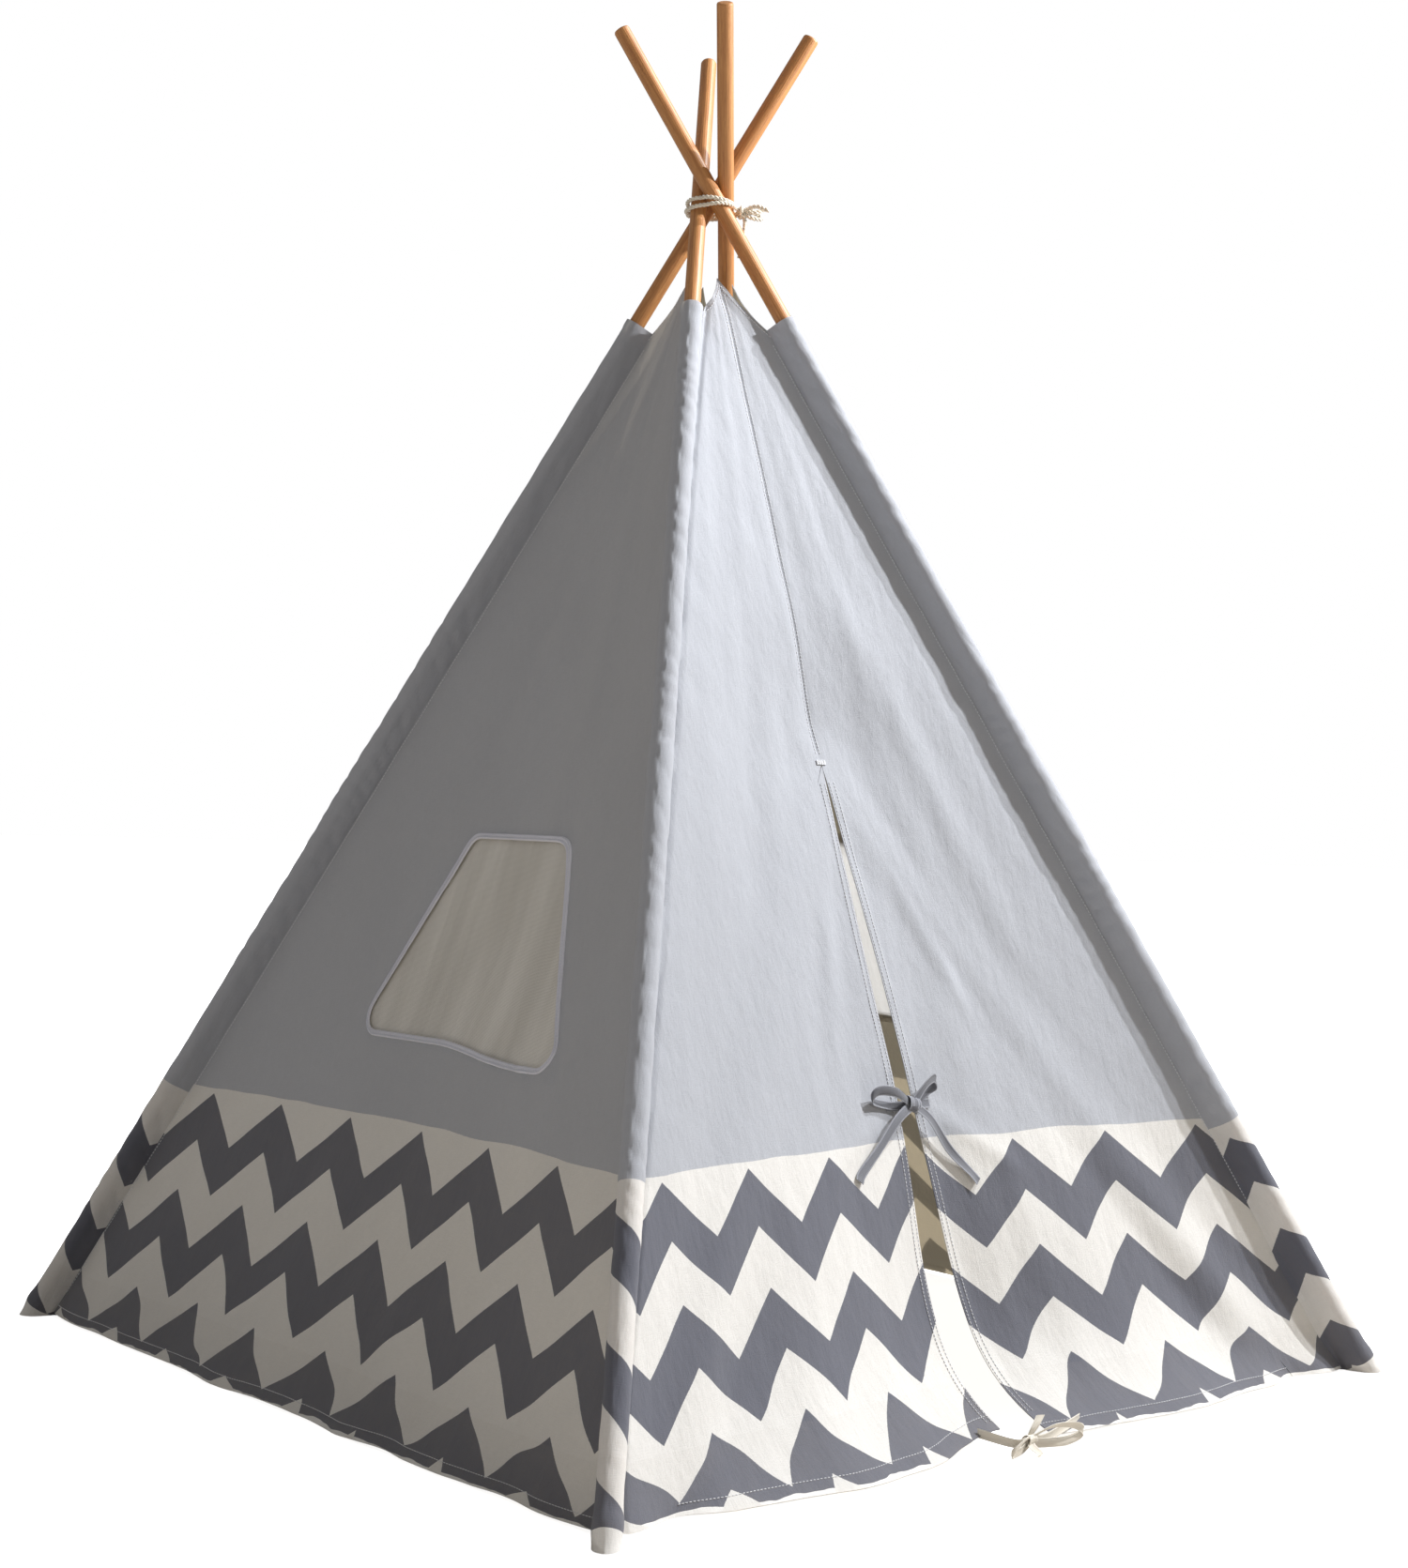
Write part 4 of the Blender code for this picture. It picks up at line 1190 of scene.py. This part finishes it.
def tie(name, controls, width, material):
    """A ribbon through control places, each with its own width direction."""
    path, across = (curve_path(values, 14 * len(controls)) for values in zip(*controls))
    return ribbon(name, path, across, width, material)


def merged(name, pieces):
    """Joins several loose objects into the first one."""
    first = pieces[0]
    meshes = [piece.data for piece in pieces[1:]]
    for piece in pieces[1:]:
        bpy.data.objects.remove(piece, do_unlink=True)
    join(first, meshes)
    first.name = name
    return first


def door_bow(material):
    """The bow halfway up the slit: a loop, a tail and a sewn end for each flap, and the knot."""
    wall = WALLS["front"]
    tie_height = np.array(DOOR_TIE_HEIGHT)
    here = wall.point(np.array(0.5), tie_height)
    right = np.array((1.0, 0.0, 0.0))
    out = wall.normal(np.array(0.42), tie_height)
    out = unit(out - right * out.dot(right))
    up = np.cross(out, right)

    def at(x, y, z, right_share=0.0, up_share=1.0, out_share=0.0):
        """x right, y up the slope and z off the cloth from the knot, and the tape's width direction there."""
        height = DOOR_TIE_HEIGHT + y * up[2]
        spot = wall.point(np.array(0.5 + x / float(wall.width(height))), np.array(height))
        depth = (spot - here).dot(out) if abs(x) > 0.012 else 0.004
        way = unit(right * right_share + up * up_share + out * out_share)
        return here + right * x + up * y + out * (z + depth), way

    halves = []
    for side, loop, tail_x, tail_y, rise in (
        (-1, 0.060, -0.098, -0.072, 0.010),
        (1, 0.044, 0.074, -0.086, 0.020),
    ):
        slant = unit((side * 0.72, 0.62))
        ribbons = {
            "loop": (
                (side * 0.003, 0.002, 0.008),
                (side * loop * 0.45, rise * 0.6 + 0.006, 0.017, 0, 1, 0.5),
                (side * loop * 0.85, rise + 0.006, 0.015, 0, 0.9, 0.5),
                (side * loop, rise, 0.009, 0, 1, 0.1),
                (side * loop * 0.82, rise - 0.004, 0.0035, 0, 1, -0.2),
                (side * loop * 0.4, rise * 0.4 - 0.003, 0.004, side * 0.35),
                (side * 0.003, -0.001, 0.006),
            ),
            "tail": (
                (side * 0.002, -0.001, 0.008, side * 0.5),
                (tail_x * 0.30, tail_y * 0.22, 0.012, *slant),
                (tail_x * 0.62, tail_y * 0.60, 0.006, *slant, 0.25),
                (tail_x * 0.95, tail_y * 0.93, 0.003, *slant, -0.1),
                (tail_x * 1.04, tail_y * 1.06, 0.004, *slant),
            ),
            "sewn": (
                (side * 0.004, 0.0, 0.005),
                (side * 0.018, 0.001, 0.0035),
                (side * 0.034, 0.002, 0.0018),
            ),
        }
        parts = []
        for word, rows in ribbons.items():
            parts.append(tie(f"bow_{word}_{END[side]}", [at(*row) for row in rows], DOOR_TAPE, material))
        if side > 0:
            lean = unit(up * 0.95 + right * 0.30)
            flat = unit(np.cross(lean, out))
            angles = np.linspace(-0.3, 2 * math.pi * 1.35, 60)
            middle = at(0, 0, 0.007)[0] + flat * 0.0022 * (np.arange(60)[:, None] / 30 - 1)
            turns = (middle, angles, lean * 0.0075, out * 0.0060, flat)
            parts.append(wound_tape("bow_knot", *turns, 0.012, material))
        halves.append(merged(f"door_bow_{END[side]}", parts))
    return halves


# The floor bow's ribbons: a band that also runs to its flap's corner, a loop and a tail. Each row is metres
# right, near and up from the knot's foot, then the direction of the tape's width in the same three parts.
FLOOR_BOW_LEFT = (
    (
        (-0.020, -0.002, 0.012, 0, 0.3, 1),
        (-0.004, 0.001, 0.013, 0, 0.5, 1),
    ),
    (
        (0.0, 0.001, 0.014, 0, 1, 1),
        (-0.018, 0.012, 0.017, 0, 0.8, 1),
        (-0.034, 0.014, 0.010, 0, 0.3, 0.9),
        (-0.036, 0.010, 0.006, 0, 0, 1),
        (-0.020, 0.006, 0.005, 0, 0.2, 1),
        (0.0, 0.0, 0.009, 0, 0, 1),
    ),
    (
        (0.0, 0.002, 0.012, 1, 0, 0),
        (-0.004, 0.009, 0.008, 1, 0, 0.2),
        (-0.002, 0.018, 0.0025, 1, 0, 0),
        (-0.010, 0.024, 0.0022, 1, -0.2, 0),
    ),
)
FLOOR_BOW_RIGHT = (
    (
        (0.002, 0.0, 0.012, 0, 0, 1),
        (0.030, -0.001, 0.011, 0, 0, 1),
    ),
    (
        (0.0, 0.0, 0.014, 0, 1, 1),
        (0.024, 0.012, 0.026, 0, 1, 0.8),
        (0.058, 0.014, 0.022, 0, 0.7, 1),
        (0.070, 0.012, 0.012, 0, 0, 1),
        (0.052, 0.008, 0.006, 0, -0.2, 1),
        (0.022, 0.004, 0.007, 0, 0, 1),
        (0.0, 0.001, 0.010, 0, 0, 1),
    ),
    (
        (0.001, 0.0, 0.014, 1, 0, 0.3),
        (0.006, 0.004, 0.026, 1, 0.2, 0),
        (0.016, 0.002, 0.036, 1, 0.4, 0),
    ),
)


def threshold_bow(material):
    """The bow of cream tape on the floor, at the foot of the slit."""
    wall = WALLS["front"]
    hem = wall.point(np.array(0.5), np.array(0.004))
    foot = np.array((-0.030, hem[1] - 0.014, 0.0))
    axes = np.array(((1.0, 0.0, 0.0), (0.0, -1.0, 0.0), (0.0, 0.0, 1.0)))
    right, near, up = axes
    halves = []
    for side, ribbons, aside, height in (
        (-1, FLOOR_BOW_LEFT, -0.03, 0.016),
        (1, FLOOR_BOW_RIGHT, 0.05, 0.012),
    ):
        u = np.array(float(wall.slit_u(side, 0.02)) + aside)
        sewn = (wall.point(u, np.array(height)) + near * 0.002, up)
        parts = []
        for i, rows in enumerate(ribbons):
            controls = [(foot + np.array(row[:3]) @ axes, unit(row[3:] @ axes)) for row in rows]
            if i == 0:
                controls.insert(0 if side < 0 else 2, sewn)
            parts.append(tie(f"threshold_{END[side]}_{i}", controls, FLOOR_TAPE, material))
        if side > 0:
            middle = foot + np.array((0, 0.001, 0.012)) @ axes
            angles = np.linspace(0, 2 * math.pi * 1.3, 50)
            turns = (middle, angles, unit(up + near * 0.4) * 0.0065, near * 0.0055, right)
            parts.append(wound_tape("threshold_knot", *turns, 0.011, material))
        halves.append(merged(f"threshold_bow_{END[side]}", parts))
    return halves


# Assembly


def build_walls():
    white_thread = thread("white_thread", (0.78, 0.78, 0.80))
    piping = tape("window_piping_fabric", (0.66, 0.67, 0.76), (0.84, 0.84, 0.92))
    voile = net("window_voile")
    for name, peak in PEAK_OFFSET.items():
        wall = WALLS[name]
        outside = canvas(f"{name}_canvas", peak)
        materials = [outside, canvas(f"{name}_canvas_inside", peak, inside=True), white_thread]
        for side in (-1, 1):
            half = wall_half(wall, side, materials)
            if name != "back":
                cut_window(half, wall)
            smooth(join(half, half_stitches(wall, side)))
            stand_in(gather(half, wall, side), "canvas", f"{name}_panel")
            if name != "back":
                edge = gather(window_binding(wall, side, [piping, white_thread]), wall, side)
                stand_in(edge, "window_binding", f"{name}_window_binding")
                veil = gather(window_net(wall, side, voile), wall, side)
                stand_in(veil, "window_net", f"{name}_window_mesh")


def build_door():
    wall = WALLS["front"]
    white_thread = thread("door_thread", (0.74, 0.75, 0.78))
    bows = door_bow(tape("door_tape_fabric", (0.15, 0.155, 0.18), (0.30, 0.31, 0.35)))
    floor_bows = threshold_bow(tape("threshold_tape_fabric", (0.74, 0.69, 0.60), (0.80, 0.76, 0.68)))
    for (side, end), bow, floor_bow in zip(END.items(), bows, floor_bows):
        peak, pitch = DOOR_PRINTS[side]
        outside = canvas(f"door_{end}_canvas", peak, pitch=pitch)
        inside = canvas(f"door_{end}_canvas_inside", peak, pitch=pitch, inside=True)
        materials = [outside, inside, white_thread]
        stand_in(gather(door_panel(side, materials), wall, side), "canvas", f"door_panel_{end}")
        loose = (
            (door_flap(side, materials), "canvas", "door_flap"),
            (bow, "door_tape", "door_tie"),
            (floor_bow, "threshold_tape", "threshold_tie"),
        )
        for piece, slot, node in loose:
            stand_in(gather(piece, wall, side, f"{end}_flap"), slot, f"{node}_{end}")
    tack = bar_tack(white_thread)
    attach(tack, wall.right.body)


def build_sleeves():
    peak, first_row = SLEEVE_PRINT
    materials = [
        canvas("sleeve_canvas", peak, first_row),
        canvas("sleeve_canvas_inside", peak, first_row, inside=True),
        thread("sleeve_thread", (0.62, 0.63, 0.68)),
    ]
    for i, corner in enumerate(CORNERS.values()):
        piece = sleeve(corner, 5.3 + 13.1 * i, materials)
        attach(piece, corner.body)
        stand_in(piece, "sleeve_canvas", f"{corner.name}_sleeve")


def build_poles():
    steel = metal("ferrule_steel")
    for corner in CORNERS.values():
        dowel = wood(corner)
        for part, material in (("pole_lower", dowel), ("pole_upper", dowel), ("ferrule", steel)):
            materials = frame["nodes"][f"{corner.name}_{part}"].data.materials
            materials.clear()
            materials.append(material)


def build_lashing():
    piece = lashing(rope("lashing_cotton"))
    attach(piece, "lashing")
    stand_in(piece, "cord", "lashing_cord", "lashing_knot")


# Stage


def floor_and_backdrop():
    """A pale floor that stays under the poles' feet, also when the tent is folded up."""
    bpy.ops.mesh.primitive_circle_add(vertices=96, radius=FLOOR_RADIUS, fill_type="NGON")
    floor = bpy.context.object
    floor.name = "studio_floor"
    nodes = Nodes("studio_floor_paint")
    color = nodes.vary(FLOOR_COLOR, nodes.noise(nodes.object_place(), 6.0, 3.0), 0.01)
    matt = nodes.add("BsdfDiffuse", {"Color": color})
    dull = nodes.add("BsdfDiffuse", {"Color": FLOOR_BOUNCE})
    glow = nodes.add("Emission", {"Color": (1, 1, 1), "Strength": FLOOR_GLOW})
    seen = nodes.add("LightPath", output="Is Camera Ray")
    both = nodes.add("AddShader", {0: matt, 1: glow})
    floor.data.materials.append(nodes.surface(nodes.add("MixShader", {0: seen, 1: dull, 2: both})))
    foot = link("floor_height", None)
    foot.location = CORNERS["front_left"].foot
    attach(foot, CORNERS["front_left"].body)
    follow = floor.constraints.new("COPY_LOCATION")
    follow.target = foot
    follow.use_x = False
    follow.use_y = False


def sky():
    """Even pale light all round. The camera sees it as plain white."""
    bpy.context.scene.world = bpy.data.worlds.new("studio")
    nodes = Nodes(bpy.context.scene.world)
    light = nodes.add("Background", {"Color": SKY_COLOR, "Strength": SKY_STRENGTH})
    white = nodes.add("Background", {"Color": (1, 1, 1)})
    seen = nodes.add("LightPath", output="Is Camera Ray")
    nodes.surface(nodes.add("MixShader", {0: seen, 1: light, 2: white}), "World")


def key_lights():
    """A high sun to the right of the door, and a lamp in line with it that favours the tent's upper front."""
    sun = bpy.data.lights.new("sun", "SUN")
    sun.energy = SUN_STRENGTH
    sun.angle = math.radians(1.2)
    lamp = bpy.data.lights.new("upper_lamp", "POINT")
    lamp.energy = LAMP_POWER
    lamp.shadow_soft_size = 0.03
    for light in (sun, lamp):
        light.color = LIGHT_COLOR
        obj = link(light.name, light)
        obj.location = LIGHT_AIM + LIGHT_FROM * LAMP_DISTANCE
        obj.rotation_euler = LIGHT_FROM.to_track_quat("Z", "Y").to_euler()


def camera():
    """At a sitting person's height, looking level at the corner between the door and the left window."""
    data = bpy.data.cameras.new("camera")
    data.lens = 54.8
    data.shift_x = 0.0029
    data.shift_y = -0.0230
    obj = link("camera", data)
    up = CAMERA_RIGHT.cross(CAMERA_FORWARD)
    turn = Matrix((CAMERA_RIGHT, up, -CAMERA_FORWARD)).transposed().to_4x4()
    obj.matrix_world = Matrix.Translation(CAMERA_PLACE) @ turn
    bpy.context.scene.camera = obj


build_poles()
build_sleeves()
build_walls()
build_door()
build_lashing()
floor_and_backdrop()
sky()
key_lights()
camera()
bpy.context.scene.view_settings.view_transform = "Standard"
